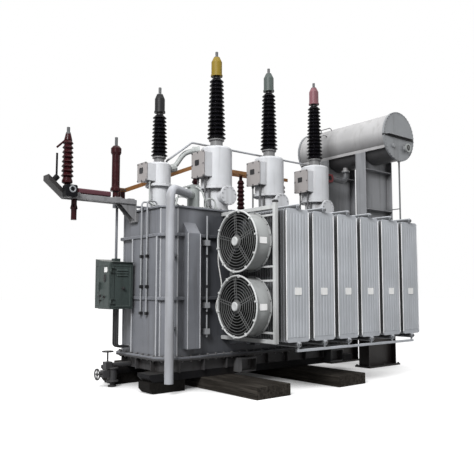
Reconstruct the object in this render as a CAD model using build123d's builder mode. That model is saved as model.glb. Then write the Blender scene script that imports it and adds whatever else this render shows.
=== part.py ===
from build123d import *
import math
import os

# Oil-filled power transformer, in millimetres.
# +X runs along the tank to the conservator end, -Y is the front with the fans, +Z is up.
# The origin is on the ground under the middle of the tank.

# Footing
sleeper_height = 180
sleeper_length = 4340
timber_width = 222
timber_gap = 7
timbers_per_sleeper = 3
left_sleeper_x = -1080
right_sleeper_x = 720
skid_height = 120
skid_width = 360
skid_length = 4800
skid_spacing = 1240
skid_nose = 70

# Tank
tank_length = 4200
tank_width = 1600
tank_corner = 200
tank_wall_thickness = 12
lower_tank_height = 210
bell_height = 2420
flange_reach = 100
flange_thickness = 30
cover_thickness = 30
cover_reach = 30
band_height = 50
band_reach = 60
lower_band_height = 925
upper_band_height = 1950
gusset_thickness = 14
gussets_per_side = 9
rib_width = 240
rib_depth = 150
rib_slope = 180
rib_foot = 150
rib_headroom = 240
rib_inset = 420
end_panel_y = 200
end_panel_depth = 40
edge_bar = 24

# High-voltage turrets, bushings and caps
phase_pitch = 1282
phase_middle_x = 429
phase_y = -450
riser_radius = 208
riser_height = 400
turret_radius = 280
turret_height = 724
turret_shoulder = 50
turret_flange_reach = 28
turret_flange_thickness = 40
bushing_neck_radius = 112
bushing_neck_height = 156
hand_hole_radius = 125
hand_hole_cover_radius = 170
hand_hole_reach = 360
hand_hole_height = 270
terminal_box_width = 340
terminal_box_height = 430
terminal_box_reach = 400
terminal_box_lift = 160
lid_thickness = 14
lid_margin = 14
lid_corner = 34
neck_flange_reach = 26
neck_flange_thickness = 26
shed_count = 15
porcelain_height = 1114
shed_radius_low = 168
shed_radius_high = 128
core_ratio = 0.66
cap_radius = 97
cap_height = 365
cap_neck_radius = 60
cap_neck_height = 51
cap_ring_reach = 10
cap_ring_height = 28
stud_radius = 26
stud_height = 96

# Neutral turret and bushing
neutral_inset = 330
neutral_y = 0
neutral_riser_radius = 172
neutral_riser_height = 410
neutral_radius = 205
neutral_height = 380
neutral_neck_radius = 92
neutral_neck_height = 120
neutral_box_width = 280
neutral_box_height = 300
neutral_box_reach = 330
neutral_box_lift = 40
neutral_shed_count = 11
neutral_porcelain_height = 740
neutral_shed_radius_low = 145
neutral_shed_radius_high = 120
neutral_cap_radius = 88
neutral_cap_height = 336
neutral_stud_height = 120

# Cooling banks
radiator_count = 6
radiator_pitch = 600
radiator_width = 509
radiator_height = 2077
radiator_lift = 790
first_radiator_x = -586
fin_count = 18
fin_pitch = 60
fin_thickness = 12
fin_corner = 45
fin_corner_rise = 25
header_radius = 45
header_offset = 35
header_lip = 20
header_plug_radius = 30
header_plug_length = 20
collector_radius = 65
collector_offset = 105
stub_size = 110
stub_drop = 60
valve_plane_offset = 215
valve_flange_reach = 26
valve_flange_thickness = 20
valve_stem_height = 85
fin_clearance = 150
tie_bar_size = 40
tie_bar_drop = 30

# Fans
fan_radius = 478
fan_throat_radius = 440
fan_skin = 8
fan_length = 310
fan_mouth_x = -1322
fan_y = -1586
upper_fan_z = 2355
lower_fan_z = 1337
guard_wire = 8
guard_arms = 5
guard_arm_spacing = 40
guard_arm_turn = 23
guard_ring_count = 7
guard_ring_pitch = 46
motor_radius = 105
motor_length = 170
motor_nose = 30
shaft_radius = 18
shaft_clearance = 0.05
impeller_gap = 12
hub_radius = 120
hub_length = 80
blade_count = 8
blade_tip_radius = 415
blade_chord = 150
blade_thickness = 8
blade_pitch = 32
frame_bar = 60
frame_post_top = 2957
frame_post_foot = 777
front_post_y = -2110
rear_post_y = -1062
frame_top_z = 2880
fan_rail_offset = 400
cable_radius = 9
gland_radius = 16
gland_length = 20
lower_gland_drop = 180
cable_inset = 122

# Conservator and its floor-standing columns
conservator_standoff = 1074
conservator_z = 4800
conservator_radius = 500
conservator_skin = 8
conservator_front_y = -1500
conservator_rear_y = 950
end_flange_reach = 22
end_thickness = 40
end_ledge_depth = 60
end_ledge_thickness = 24
gauge_radius = 64
gauge_depth = 70
port_radius = 40
rung_angles = (30, 58)
rung_y = 120
rung_length = 300
rung_reach = 70
rung_radius = 11
rung_bend = 35
rail_offset = 425
rail_width = 70
rail_height = 60
front_column_y = -840
rear_column_y = 180
column_depth = 260
column_plate = 16
column_foot_margin = 60
column_foot_thickness = 30
column_stiffener_heights = (1100, 2200, 3300, 4150)

# Breather under the conservator
breather_radius = 17
breather_offset = 150
breather_y = -1380
breather_jar_top = 1760
breather_jar_radius = 62
breather_jar_height = 280

# Pipework on the cover
oil_pipe_radius = 55
oil_pipe_inset = 100
oil_pipe_y = -150
oil_pipe_level = 4020
oil_pipe_bend = 130
oil_pipe_drop_inset = 124
pipe_flange_reach = 35
pipe_flange_thickness = 24
relay_standoff = 320
relay_length = 200
relay_size = 170
vent_radius = 18
vent_lift = 70
relief_pipe_radius = 70
relief_pipe_standoff = 110
relief_pipe_y = -1050
relief_pipe_foot = 180
relief_valve_inset = 640
relief_valve_y = -600
relief_valve_radius = 105
relief_valve_height = 330
relief_pipe_level = 225
relief_bend = 165
relief_head_size = 150
clamp_size = 40
clamp_heights = (1000, 2150)

# Tap changer and cabinets on the left end
cabinet_depth = 400
cabinet_width = 400
cabinet_height = 770
cabinet_lift = 1280
cabinet_y = 300
cabinet_skin = 6
cabinet_standoff = 100
bracket_pitch = 330
roof_rise = 40
roof_reach = 25
door_thickness = 20
door_gap = 5
hinge_radius = 10
hinge_pin_radius = 5
hinge_clearance = 0.3
hinge_length = 60
hinge_offset = 20
hinge_inset = 130
terminal_cabinet_width = 260
terminal_cabinet_depth = 330
terminal_cabinet_gap = 60
drive_shaft_radius = 22
drive_y = 420
drive_shaft_standoff = 250
drive_level = 100
gear_size = 110
tap_head_inset = 800
tap_head_radius = 240
tap_head_height = 210

# Neutral bracket arm
arm_channel_width = 60
arm_channel_height = 80
arm_rise = 90
arm_near_y = 140
arm_far_y = 300
arm_length = 1290
arm_knee_drop = 380
arm_tip_rise = 260
arm_tip_run = 306
post_inset = 40
post_foot_radius = 45
post_foot_height = 240
post_height = 610
post_shed_count = 8
post_radius = 100
post_head_height = 130
post_stud_height = 85
electrode_radius = 16
hanging_inset = 165
hanging_radius = 45
hanging_length = 416
hanging_shed_reach = 15
sleeve_width = 84
sleeve_height = 92
sleeve_round = 30
sleeve_length = 690
arrester_standoff = 390
arrester_pedestal_radius = 48
arrester_pedestal_height = 110
arrester_radius = 68
arrester_height = 540
arrester_foot_height = 80
arrester_head_radius = 88
arrester_stud_radius = 26
arrester_stud_height = 150
gap_reach = 200
gap_insulator_radius = 45
gap_insulator_height = 120
gap_rod_length = 390
transformer_box_length = 190
transformer_box_overhang = 80
transformer_box_depth = 140
transformer_box_height = 190
transformer_box_round = 25

# Low-voltage bars and bushings
bar_thickness = 14
bar_depth = 70
bar_spacing = 120
first_bar_y = 440
bar_overhang = 190
bar_foot = 110
bar_left_z = 3300
bar_climb = 1670
bar_z = 3950
bar_inset = 300
low_bushing_radius = 85
low_bushing_pitch = 1060
low_bushing_inset = 180
low_shed_count = 8
low_bushing_foot = 200
low_bushing_stud = 100

# Drain valves at the left end
drain_y = 300
drain_z = 355
drain_pipe_radius = 38
drain_leg_standoff = 345
drain_valve_size = 116
drain_valve_gap = 90
drain_stem_length = 215
drain_lower_drop = 135
drain_lower_stem_length = 130
drain_foot_radius = 70
stem_radius = 14
wheel_radius = 95
wheel_rim = 18
wheel_spokes = 4

# Conduits on the walls
conduit_radius = 14
conduit_ys = (-120, -300)
conduit_low_z = 1190
conduit_drop_inset = 110
conduit_clip_heights = (1215, 1650, 2150)
conduit_clip_size = 46
cabinet_conduit_radius = 18
cabinet_conduit_pitch = 70
cabinet_conduit_low_z = 650
conduit_bend = 60
front_conduit_x = -1370
front_conduit_standoff = 75
front_conduit_low_z = 830
front_conduit_high_z = 2820
front_box_size = 90

# Heights and faces that several pieces share
tank_floor_z = sleeper_height + skid_height
joint_z = tank_floor_z + lower_tank_height
bell_top_z = joint_z + bell_height
cover_z = bell_top_z + cover_thickness
half_length = tank_length / 2
half_width = tank_width / 2
turret_joint_z = cover_z + riser_height
turret_top_z = turret_joint_z + turret_flange_thickness + turret_height
porcelain_z = turret_top_z + bushing_neck_height
neutral_joint_z = cover_z + neutral_riser_height
neutral_top_z = neutral_joint_z + turret_flange_thickness + neutral_height
neutral_porcelain_z = neutral_top_z + neutral_neck_height
phases = {"a": -phase_pitch, "b": 0, "c": phase_pitch}
phase_x = {name: phase_middle_x + shift for name, shift in phases.items()}
valve_plane_y = half_width + valve_plane_offset
fin_depth = (fin_count - 1) * fin_pitch + fin_thickness
radiator_back_y = half_width + valve_plane_offset + fin_clearance
radiator_front_y = radiator_back_y + fin_depth
header_low_z = radiator_lift - header_offset
header_high_z = radiator_lift + radiator_height + header_offset
tie_bar_top = header_low_z - header_radius - tie_bar_drop
fan_back_x = fan_mouth_x + fan_length

# Places along the tank, from its two end walls
left_end = -half_length
right_end = half_length
rib_x = left_end + rib_inset
neutral_x = left_end + neutral_inset
relief_pipe_x = left_end - relief_pipe_standoff
relief_valve_x = left_end + relief_valve_inset
drive_shaft_x = left_end - drive_shaft_standoff
tap_head_x = left_end + tap_head_inset
arm_tip_x = left_end - arm_length
post_insulator_x = arm_tip_x + post_inset
hanging_insulator_x = arm_tip_x + hanging_inset
arrester_x = left_end - arrester_standoff
bar_left_x = left_end - bar_overhang
bar_bend_x = bar_left_x + bar_climb
bar_right_x = right_end - bar_inset
low_bushing_right_x = bar_right_x - low_bushing_inset
drain_leg_x = left_end - drain_leg_standoff
oil_pipe_x = right_end - oil_pipe_inset
relay_x = right_end + relay_standoff
conservator_x = right_end + conservator_standoff
oil_pipe_drop_x = conservator_x - oil_pipe_drop_inset

os.makedirs("parts", exist_ok=True)


def block(x, y, z, mode=Mode.ADD):
    """A box between two corners, each axis given as its low and high ends."""
    with Locations(((x[0] + x[1]) / 2, (y[0] + y[1]) / 2, (z[0] + z[1]) / 2)):
        Box(abs(x[1] - x[0]), abs(y[1] - y[0]), abs(z[1] - z[0]), mode=mode)


def drum(start, direction, radius, length, mode=Mode.ADD):
    """A round bar that starts at a point and runs along a direction."""
    with BuildSketch(Plane(origin=start, z_dir=direction)) as section:
        Circle(radius)
    extrude(section.sketch, amount=length, mode=mode)


def turned(x, y, outline):
    """A solid of revolution about an upright axis, from (radius, height) points."""
    with BuildSketch(Plane(origin=(x, y, 0), x_dir=(1, 0, 0), z_dir=(0, -1, 0))) as profile:
        with BuildLine():
            Polyline(*outline, close=True)
        make_face()
    revolve(profile.sketch, axis=Axis((x, y, 0), (0, 0, 1)))


def tube_along(radius, bend, *points):
    """A round pipe along straight runs joined by bends."""
    with BuildLine() as route:
        FilletPolyline(*points, radius=bend)
    with BuildSketch(Plane(origin=route.line @ 0, z_dir=route.line % 0)) as section:
        Circle(radius)
    sweep(section.sketch, path=route.line)


def tank_outline(reach, mode=Mode.ADD):
    """The tank's eight-sided plan, grown or shrunk by a reach."""
    corner = tank_corner + reach * (2 - math.sqrt(2))
    long_x = half_length + reach
    long_y = half_width + reach
    with BuildLine() as outline:
        Polyline(
            (long_x - corner, -long_y),
            (long_x, -long_y + corner),
            (long_x, long_y - corner),
            (long_x - corner, long_y),
            (-long_x + corner, long_y),
            (-long_x, long_y - corner),
            (-long_x, -long_y + corner),
            (-long_x + corner, -long_y),
            close=True,
        )
    make_face(outline.edges(), mode=mode)


def tank_slab(low, high, reach, bore=None):
    """A slab in the tank's plan between two heights, hollow where a bore is given."""
    with BuildSketch(Plane.XY.offset(low)) as plan:
        tank_outline(reach)
        if bore is not None:
            tank_outline(bore, Mode.SUBTRACT)
    extrude(plan.sketch, amount=high - low)


def shed_outline(base_z, height, count, low_radius, high_radius):
    """Half profile of a porcelain column with a taper of drooping sheds."""
    pitch = height / count
    points = [(0, base_z), (low_radius * core_ratio, base_z)]
    for index in range(count):
        share = index / (count - 1)
        radius = low_radius + (high_radius - low_radius) * share
        level = base_z + index * pitch
        points.append((radius, level + 0.35 * pitch))
        points.append((radius * core_ratio, level + pitch))
    points.append((0, base_z + height))
    return points


def save(part, name):
    """Label a finished piece and write it."""
    part.label = name
    export_step(part, f"parts/{name}.step")


# Two bundles of timbers lie across under the skids
with BuildPart() as sleepers:
    for sleeper_x in (left_sleeper_x, right_sleeper_x):
        with Locations((sleeper_x, 0, sleeper_height / 2)):
            with GridLocations(timber_width + timber_gap, 1, timbers_per_sleeper, 1):
                Box(timber_width, sleeper_length, sleeper_height)
save(sleepers.part, "sleepers")

# Skid beams under the tank, with noses cut back at both ends
with BuildPart() as skids:
    for side in (-1, 1):
        middle_y = side * skid_spacing / 2
        with BuildSketch(Plane.XZ.offset(-middle_y - skid_width / 2)):
            with BuildLine():
                Polyline(
                    (-skid_length / 2 + skid_nose, sleeper_height),
                    (skid_length / 2 - skid_nose, sleeper_height),
                    (skid_length / 2, sleeper_height + skid_nose),
                    (skid_length / 2, tank_floor_z),
                    (-skid_length / 2, tank_floor_z),
                    (-skid_length / 2, sleeper_height + skid_nose),
                    close=True,
                )
            make_face()
        extrude(amount=skid_width)
save(skids.part, "skids")

# Lower tank: a tray with a bolting flange stiffened by gussets
with BuildPart() as lower_tank:
    tank_slab(tank_floor_z, tank_floor_z + 2 * tank_wall_thickness, 0)
    tank_slab(tank_floor_z, joint_z, 0, -tank_wall_thickness)
    tank_slab(joint_z - flange_thickness, joint_z, flange_reach, -tank_wall_thickness)
    gusset_height = lower_tank_height - flange_thickness
    gusset_z = tank_floor_z + gusset_height / 2
    gusset_pitch = (tank_length - 2 * tank_corner - gusset_thickness) / (gussets_per_side - 1)
    gusset_depth = 0.85 * flange_reach
    for side in (-1, 1):
        with Locations((0, side * (half_width + gusset_depth / 2), gusset_z)):
            with GridLocations(gusset_pitch, 1, gussets_per_side, 1):
                Box(gusset_thickness, gusset_depth, gusset_height)
        with Locations((side * (half_length + gusset_depth / 2), 0, gusset_z)):
            with GridLocations(1, gusset_pitch, 1, 3):
                Box(gusset_depth, gusset_thickness, gusset_height)
save(lower_tank.part, "lower_tank")

# Upper tank wall: a shell with a flange, two stiffening bands, ribs and raised end panels
with BuildPart() as tank_wall:
    tank_slab(joint_z, bell_top_z, 0, -tank_wall_thickness)
    tank_slab(joint_z, joint_z + flange_thickness, flange_reach, -tank_wall_thickness)
    for band_z in (joint_z + lower_band_height, joint_z + upper_band_height):
        tank_slab(band_z, band_z + band_height, band_reach, -tank_wall_thickness)
    rib_low = joint_z + rib_foot
    rib_high = bell_top_z - rib_headroom
    for side in (-1, 1):
        with BuildSketch(Plane.YZ.offset(rib_x - rib_width / 2)):
            with BuildLine():
                Polyline(
                    (side * half_width, rib_low),
                    (side * (half_width + rib_depth), rib_low),
                    (side * (half_width + rib_depth), rib_high - rib_slope),
                    (side * half_width, rib_high),
                    close=True,
                )
            make_face()
        extrude(amount=rib_width)
        panel_face = side * (half_length + end_panel_depth)
        corner_y = -half_width + tank_corner
        block((side * half_length, panel_face), (corner_y, end_panel_y),
              (joint_z, joint_z + upper_band_height))
        for edge_y in (corner_y, end_panel_y - edge_bar):
            block((panel_face, panel_face + side * edge_bar), (edge_y, edge_y + edge_bar),
                  (joint_z, joint_z + upper_band_height))
save(tank_wall.part, "tank_wall")

# Tank cover: a flat plate that overhangs the wall
with BuildPart() as tank_cover:
    tank_slab(bell_top_z, cover_z, cover_reach)
save(tank_cover.part, "tank_cover")


def add_terminal_box(x, y, reach, width, low, height):
    """The wiring box on a turret's left side, with a rounded lid that stands proud."""
    block((x - reach, x), (y - width / 2, y + width / 2), (low, low + height))
    lid_plane = Plane(origin=(x - reach, y, low + height / 2), x_dir=(0, -1, 0), z_dir=(-1, 0, 0))
    with BuildSketch(lid_plane) as lid:
        RectangleRounded(width + 2 * lid_margin, height + 2 * lid_margin, lid_corner)
    extrude(lid.sketch, amount=lid_thickness)


# High-voltage turrets: riser, flanged barrel with a rounded shoulder, hand hole and wiring box
for name, x in phase_x.items():
    with BuildPart() as turret:
        barrel_z = turret_joint_z + turret_flange_thickness
        rim = turret_radius + turret_flange_reach
        neck_rim = bushing_neck_radius + neck_flange_reach
        shoulder = turret_shoulder * (1 - math.sqrt(0.5))
        with BuildSketch(Plane(origin=(x, phase_y, 0), x_dir=(1, 0, 0), z_dir=(0, -1, 0))):
            with BuildLine():
                Polyline(
                    (turret_radius - turret_shoulder, turret_top_z),
                    (neck_rim, turret_top_z),
                    (neck_rim, turret_top_z + neck_flange_thickness),
                    (bushing_neck_radius, turret_top_z + neck_flange_thickness),
                    (bushing_neck_radius, porcelain_z - neck_flange_thickness),
                    (neck_rim, porcelain_z - neck_flange_thickness),
                    (neck_rim, porcelain_z),
                    (0, porcelain_z),
                    (0, cover_z),
                    (riser_radius + turret_flange_reach, cover_z),
                    (riser_radius + turret_flange_reach, cover_z + turret_flange_thickness),
                    (riser_radius, cover_z + turret_flange_thickness),
                    (riser_radius, turret_joint_z),
                    (rim, turret_joint_z),
                    (rim, barrel_z),
                    (turret_radius, barrel_z),
                    (turret_radius, turret_top_z - turret_shoulder),
                )
                ThreePointArc(
                    (turret_radius, turret_top_z - turret_shoulder),
                    (turret_radius - shoulder, turret_top_z - shoulder),
                    (turret_radius - turret_shoulder, turret_top_z),
                )
            make_face()
        revolve(axis=Axis((x, phase_y, 0), (0, 0, 1)))
        hand_hole_z = cover_z + hand_hole_height
        drum((x, phase_y, hand_hole_z), (0, -1, 0), hand_hole_radius, hand_hole_reach)
        drum((x, phase_y - hand_hole_reach + turret_flange_thickness, hand_hole_z), (0, -1, 0),
             hand_hole_cover_radius, turret_flange_thickness)
        add_terminal_box(x, phase_y, terminal_box_reach, terminal_box_width,
                         barrel_z + terminal_box_lift, terminal_box_height)
    save(turret.part, f"turret_{name}")

# Neutral turret, the same build in a smaller size
with BuildPart() as neutral_turret:
    rim = neutral_radius + turret_flange_reach
    foot = neutral_riser_radius + turret_flange_reach
    turned(neutral_x, neutral_y, [
        (0, cover_z),
        (foot, cover_z),
        (foot, cover_z + turret_flange_thickness),
        (neutral_riser_radius, cover_z + turret_flange_thickness),
        (neutral_riser_radius, neutral_joint_z),
        (rim, neutral_joint_z),
        (rim, neutral_joint_z + turret_flange_thickness),
        (neutral_radius, neutral_joint_z + turret_flange_thickness),
        (neutral_radius, neutral_top_z - turret_shoulder / 2),
        (neutral_radius - turret_shoulder / 2, neutral_top_z),
        (neutral_neck_radius, neutral_top_z),
        (neutral_neck_radius, neutral_porcelain_z - neck_flange_thickness),
        (neutral_neck_radius + neck_flange_reach, neutral_porcelain_z - neck_flange_thickness),
        (neutral_neck_radius + neck_flange_reach, neutral_porcelain_z),
        (0, neutral_porcelain_z),
    ])
    add_terminal_box(neutral_x, neutral_y, neutral_box_reach, neutral_box_width,
                     neutral_joint_z + turret_flange_thickness + neutral_box_lift,
                     neutral_box_height)
save(neutral_turret.part, "neutral_turret")


def make_bushing(name, x, y, base_z, height, count, low_radius, high_radius):
    """A porcelain column of sheds."""
    with BuildPart() as bushing:
        turned(x, y, shed_outline(base_z, height, count, low_radius, high_radius))
    save(bushing.part, name)


def make_cap(name, x, y, base_z, radius, height, stud):
    """The metal head of a bushing with a terminal stud on top."""
    body_z = base_z + cap_neck_height
    top_z = body_z + height
    with BuildPart() as cap:
        turned(x, y, [
            (0, base_z),
            (cap_neck_radius, base_z),
            (cap_neck_radius, body_z),
            (radius + cap_ring_reach, body_z),
            (radius + cap_ring_reach, body_z + cap_ring_height),
            (radius, body_z + cap_ring_height),
            (radius, top_z - radius),
            (stud_radius * 2, top_z),
            (stud_radius, top_z),
            (stud_radius, top_z + stud),
            (0, top_z + stud),
        ])
    save(cap.part, name)


# Bushings and their heads
for name, x in phase_x.items():
    make_bushing(f"bushing_{name}", x, phase_y, porcelain_z, porcelain_height, shed_count,
                 shed_radius_low, shed_radius_high)
    make_cap(f"cap_{name}", x, phase_y, porcelain_z + porcelain_height, cap_radius, cap_height,
             stud_height)
make_bushing("neutral_bushing", neutral_x, neutral_y, neutral_porcelain_z,
             neutral_porcelain_height, neutral_shed_count, neutral_shed_radius_low,
             neutral_shed_radius_high)
make_cap("neutral_cap", neutral_x, neutral_y, neutral_porcelain_z + neutral_porcelain_height,
         neutral_cap_radius, neutral_cap_height, neutral_stud_height)

# One radiator: panels between an upper and a lower header, front panel at y = 0
with BuildPart() as panel:
    half = radiator_width / 2
    top = radiator_lift + radiator_height
    with BuildSketch(Plane.XZ):
        with BuildLine():
            Polyline(
                (-half + fin_corner, radiator_lift),
                (half - fin_corner, radiator_lift),
                (half, radiator_lift + fin_corner_rise),
                (half, top - fin_corner_rise),
                (half - fin_corner, top),
                (-half + fin_corner, top),
                (-half, top - fin_corner_rise),
                (-half, radiator_lift + fin_corner_rise),
                close=True,
            )
        make_face()
    extrude(amount=-fin_thickness)
with BuildPart() as radiator:
    with Locations((0, (fin_count - 1) * fin_pitch / 2, 0)):
        with GridLocations(1, fin_pitch, 1, fin_count):
            add(panel.part)
    for header_z in (header_low_z, header_high_z):
        drum((0, -header_lip, header_z), (0, 1, 0), header_radius, header_lip + fin_depth + fin_clearance)
        drum((0, -header_lip, header_z), (0, -1, 0), header_plug_radius, header_plug_length)
    block((-tie_bar_size / 2, tie_bar_size / 2), (0, fin_thickness), (tie_bar_top, header_low_z))

radiator_xs = [first_radiator_x + index * radiator_pitch for index in range(radiator_count)]
for index, x in enumerate(radiator_xs, start=1):
    with BuildPart() as front_radiator:
        with Locations((x, -radiator_front_y, 0)):
            add(radiator.part)
    save(front_radiator.part, f"radiator_{index}")
with BuildPart() as rear_radiators:
    for x in radiator_xs:
        with Locations(Location((x, radiator_front_y, 0), (0, 0, 180))):
            add(radiator.part)
save(rear_radiators.part, "rear_radiators")


def make_collectors(name, side):
    """Upper and lower collecting pipes of one bank, with shut-off valves and tank stubs."""
    pipe_y = side * (half_width + collector_offset)
    left_x = radiator_xs[0] - radiator_pitch / 2
    right_x = radiator_xs[-1] + radiator_pitch / 3
    with BuildPart() as collectors:
        for header_z in (header_low_z, header_high_z):
            drum((left_x, pipe_y, header_z), (1, 0, 0), collector_radius, right_x - left_x)
            for x in radiator_xs:
                valve_y = side * (valve_plane_y - valve_flange_thickness)
                drum((x, pipe_y, header_z), (0, side, 0), header_radius, valve_plane_y - abs(pipe_y))
                drum((x, valve_y, header_z), (0, side, 0), header_radius + valve_flange_reach,
                     valve_flange_thickness)
                drum((x, valve_y, header_z), (0, 0, 1), stem_radius, valve_stem_height)
            stub_z = header_z - stub_drop
            for x in (radiator_xs[0] + radiator_pitch / 2, radiator_xs[3] + radiator_pitch / 2):
                block((x - stub_size / 2, x + stub_size / 2), (pipe_y, side * half_width),
                      (stub_z - stub_size / 2, stub_z + stub_size / 2))
    save(collectors.part, name)


make_collectors("front_collectors", -1)
make_collectors("rear_collectors", 1)

# Tie bars under the outer ends of both banks, against the lugs of the lower headers
with BuildPart() as tie_bars:
    for side in (-1, 1):
        bar_y = side * (radiator_front_y - fin_thickness / 2)
        block((radiator_xs[0] - tie_bar_size, radiator_xs[-1] + tie_bar_size),
              (bar_y - tie_bar_size / 2, bar_y + tie_bar_size / 2),
              (tie_bar_top - tie_bar_size, tie_bar_top))
save(tie_bars.part, "tie_bars")


def make_fan(name, fan_z, gland_drop):
    """Shroud, guard, motor and impeller of one fan that blows along +X, with its cable gland."""
    axis = Axis((0, fan_y, fan_z), (1, 0, 0))
    front = Plane(origin=(fan_mouth_x, fan_y, fan_z), x_dir=(0, -1, 0), z_dir=(-1, 0, 0))
    bell = fan_radius - fan_throat_radius
    with BuildPart() as shroud:
        with BuildSketch(Plane(origin=(fan_mouth_x, fan_y, fan_z), x_dir=(1, 0, 0), z_dir=(0, -1, 0))):
            with BuildLine():
                ThreePointArc((0, fan_radius), (bell * 0.3, fan_throat_radius + bell * 0.3),
                              (bell, fan_throat_radius))
                Polyline((bell, fan_throat_radius), (fan_length, fan_throat_radius),
                         (fan_length, fan_radius), (fan_length - fan_skin, fan_radius),
                         (fan_length - fan_skin, fan_throat_radius + fan_skin),
                         (bell + fan_skin, fan_throat_radius + fan_skin))
                ThreePointArc((bell + fan_skin, fan_throat_radius + fan_skin),
                              (bell * 0.3 + fan_skin, fan_throat_radius + bell * 0.3 + fan_skin),
                              (fan_skin, fan_radius + fan_skin))
                Polyline((fan_skin, fan_radius + fan_skin), (0, fan_radius + fan_skin), (0, fan_radius))
            make_face()
        revolve(axis=axis)
        gland_start = math.sqrt(fan_throat_radius ** 2 - gland_drop ** 2)
        gland_end = math.sqrt((fan_throat_radius + fan_skin) ** 2 - gland_drop ** 2) + gland_length
        drum((fan_mouth_x + cable_inset, fan_y + gland_start + fan_skin / 2, fan_z - gland_drop), (0, 1, 0),
             gland_radius, gland_end - gland_start - fan_skin / 2)
    save(shroud.part, f"fan_shroud_{name}")

    ring_radii = [fan_radius + fan_skin - guard_wire / 2]
    ring_radii += [motor_radius + step * guard_ring_pitch for step in range(guard_ring_count, 0, -1)]
    with BuildPart() as guard:
        with BuildSketch(front):
            for radius in ring_radii:
                Circle(radius + guard_wire / 2)
                Circle(radius - guard_wire / 2, mode=Mode.SUBTRACT)
            rod_length = fan_radius - motor_radius / 2
            with PolarLocations(motor_radius / 2 + rod_length / 2, guard_arms, guard_arm_turn):
                with Locations((0, -guard_arm_spacing / 2), (0, guard_arm_spacing / 2)):
                    Rectangle(rod_length, guard_wire)
            Circle(motor_radius)
        extrude(amount=guard_wire)
        drum((fan_mouth_x - guard_wire, fan_y, fan_z), (-1, 0, 0), 0.8 * motor_radius, motor_nose)
        nose = guard.faces().sort_by(Axis.X)[0]
        chamfer(nose.edges(), motor_nose / 2)
    save(guard.part, f"fan_guard_{name}")

    shaft_x = fan_mouth_x + motor_length
    shaft_length = 2 * impeller_gap + hub_length
    with BuildPart() as motor:
        drum((fan_mouth_x, fan_y, fan_z), (1, 0, 0), motor_radius, motor_length)
        drum((shaft_x, fan_y, fan_z), (1, 0, 0), shaft_radius, shaft_length)
        drum((shaft_x + shaft_length, fan_y, fan_z), (1, 0, 0), 2 * shaft_radius, impeller_gap)
    save(motor.part, f"fan_motor_{name}")

    hub_x = shaft_x + impeller_gap
    with BuildPart() as impeller:
        drum((hub_x, fan_y, fan_z), (1, 0, 0), hub_radius, hub_length)
        blade_length = blade_tip_radius - hub_radius / 2
        for index in range(blade_count):
            turn = math.radians(360 / blade_count * index)
            outward = Vector(0, math.cos(turn), math.sin(turn))
            around = Vector(0, -math.sin(turn), math.cos(turn))
            pitch = math.radians(blade_pitch)
            blade = Plane(
                origin=Vector(hub_x + hub_length / 2, fan_y, fan_z) + outward * (hub_radius / 2),
                x_dir=Vector(math.cos(pitch), 0, 0) + around * math.sin(pitch),
                z_dir=outward,
            )
            with BuildSketch(blade):
                Rectangle(blade_thickness, blade_chord)
            extrude(amount=blade_length)
        drum((hub_x, fan_y, fan_z), (1, 0, 0), shaft_radius + shaft_clearance, hub_length, Mode.SUBTRACT)
    save(impeller.part, f"fan_impeller_{name}")


make_fan("upper", upper_fan_z, 0)
make_fan("lower", lower_fan_z, lower_gland_drop)

# Fan frame: two posts and cross rails, held to the tank by a top and a bottom beam
with BuildPart() as fan_frame:
    frame_x = (fan_back_x, fan_back_x + frame_bar)
    half_bar = frame_bar / 2
    for beam_z in (frame_post_foot + half_bar, frame_top_z):
        block(frame_x, (front_post_y, -half_width), (beam_z - half_bar, beam_z + half_bar))
    block(frame_x, (front_post_y - half_bar, front_post_y + half_bar), (frame_post_foot, frame_post_top))
    block(frame_x, (rear_post_y - half_bar, rear_post_y + half_bar), (frame_post_foot, frame_top_z))
    for fan_z in (upper_fan_z, lower_fan_z):
        for rail_z in (fan_z - fan_rail_offset, fan_z + fan_rail_offset):
            block(frame_x, (front_post_y, rear_post_y), (rail_z - half_bar / 2, rail_z + half_bar / 2))
save(fan_frame.part, "fan_frame")

# Flexible lead that hangs in loops from the upper fan's gland to the lower one's
cable_x = fan_mouth_x + cable_inset
upper_gland_y = fan_y + fan_throat_radius + fan_skin + gland_length
lower_gland_y = fan_y + math.sqrt((fan_throat_radius + fan_skin) ** 2 - lower_gland_drop ** 2) + gland_length
cable_route = [
    (cable_x, upper_gland_y, upper_fan_z),
    (cable_x, -1010, upper_fan_z),
    (-1205, -962, 2205),
    (-1208, -972, 2010),
    (-1205, -1025, 1835),
    (-1202, -1058, 1670),
    (-1200, -1020, 1530),
    (-1206, -935, 1430),
    (-1210, -905, 1310),
    (-1206, -960, 1195),
    (cable_x, -1050, lower_fan_z - lower_gland_drop),
    (cable_x, lower_gland_y, lower_fan_z - lower_gland_drop),
]
cable_bends = []
for before, corner, after in zip(cable_route, cable_route[1:], cable_route[2:]):
    arriving = Vector(corner) - Vector(before)
    leaving = Vector(after) - Vector(corner)
    half_turn = math.radians(arriving.get_angle(leaving)) / 2
    cable_bends.append(0.45 * min(arriving.length, leaving.length) / math.tan(half_turn))
print("fan lead bends", [round(bend) for bend in cable_bends])
with BuildPart() as fan_cables:
    tube_along(cable_radius, cable_bends, *cable_route)
save(fan_cables.part, "fan_cables")

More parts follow.
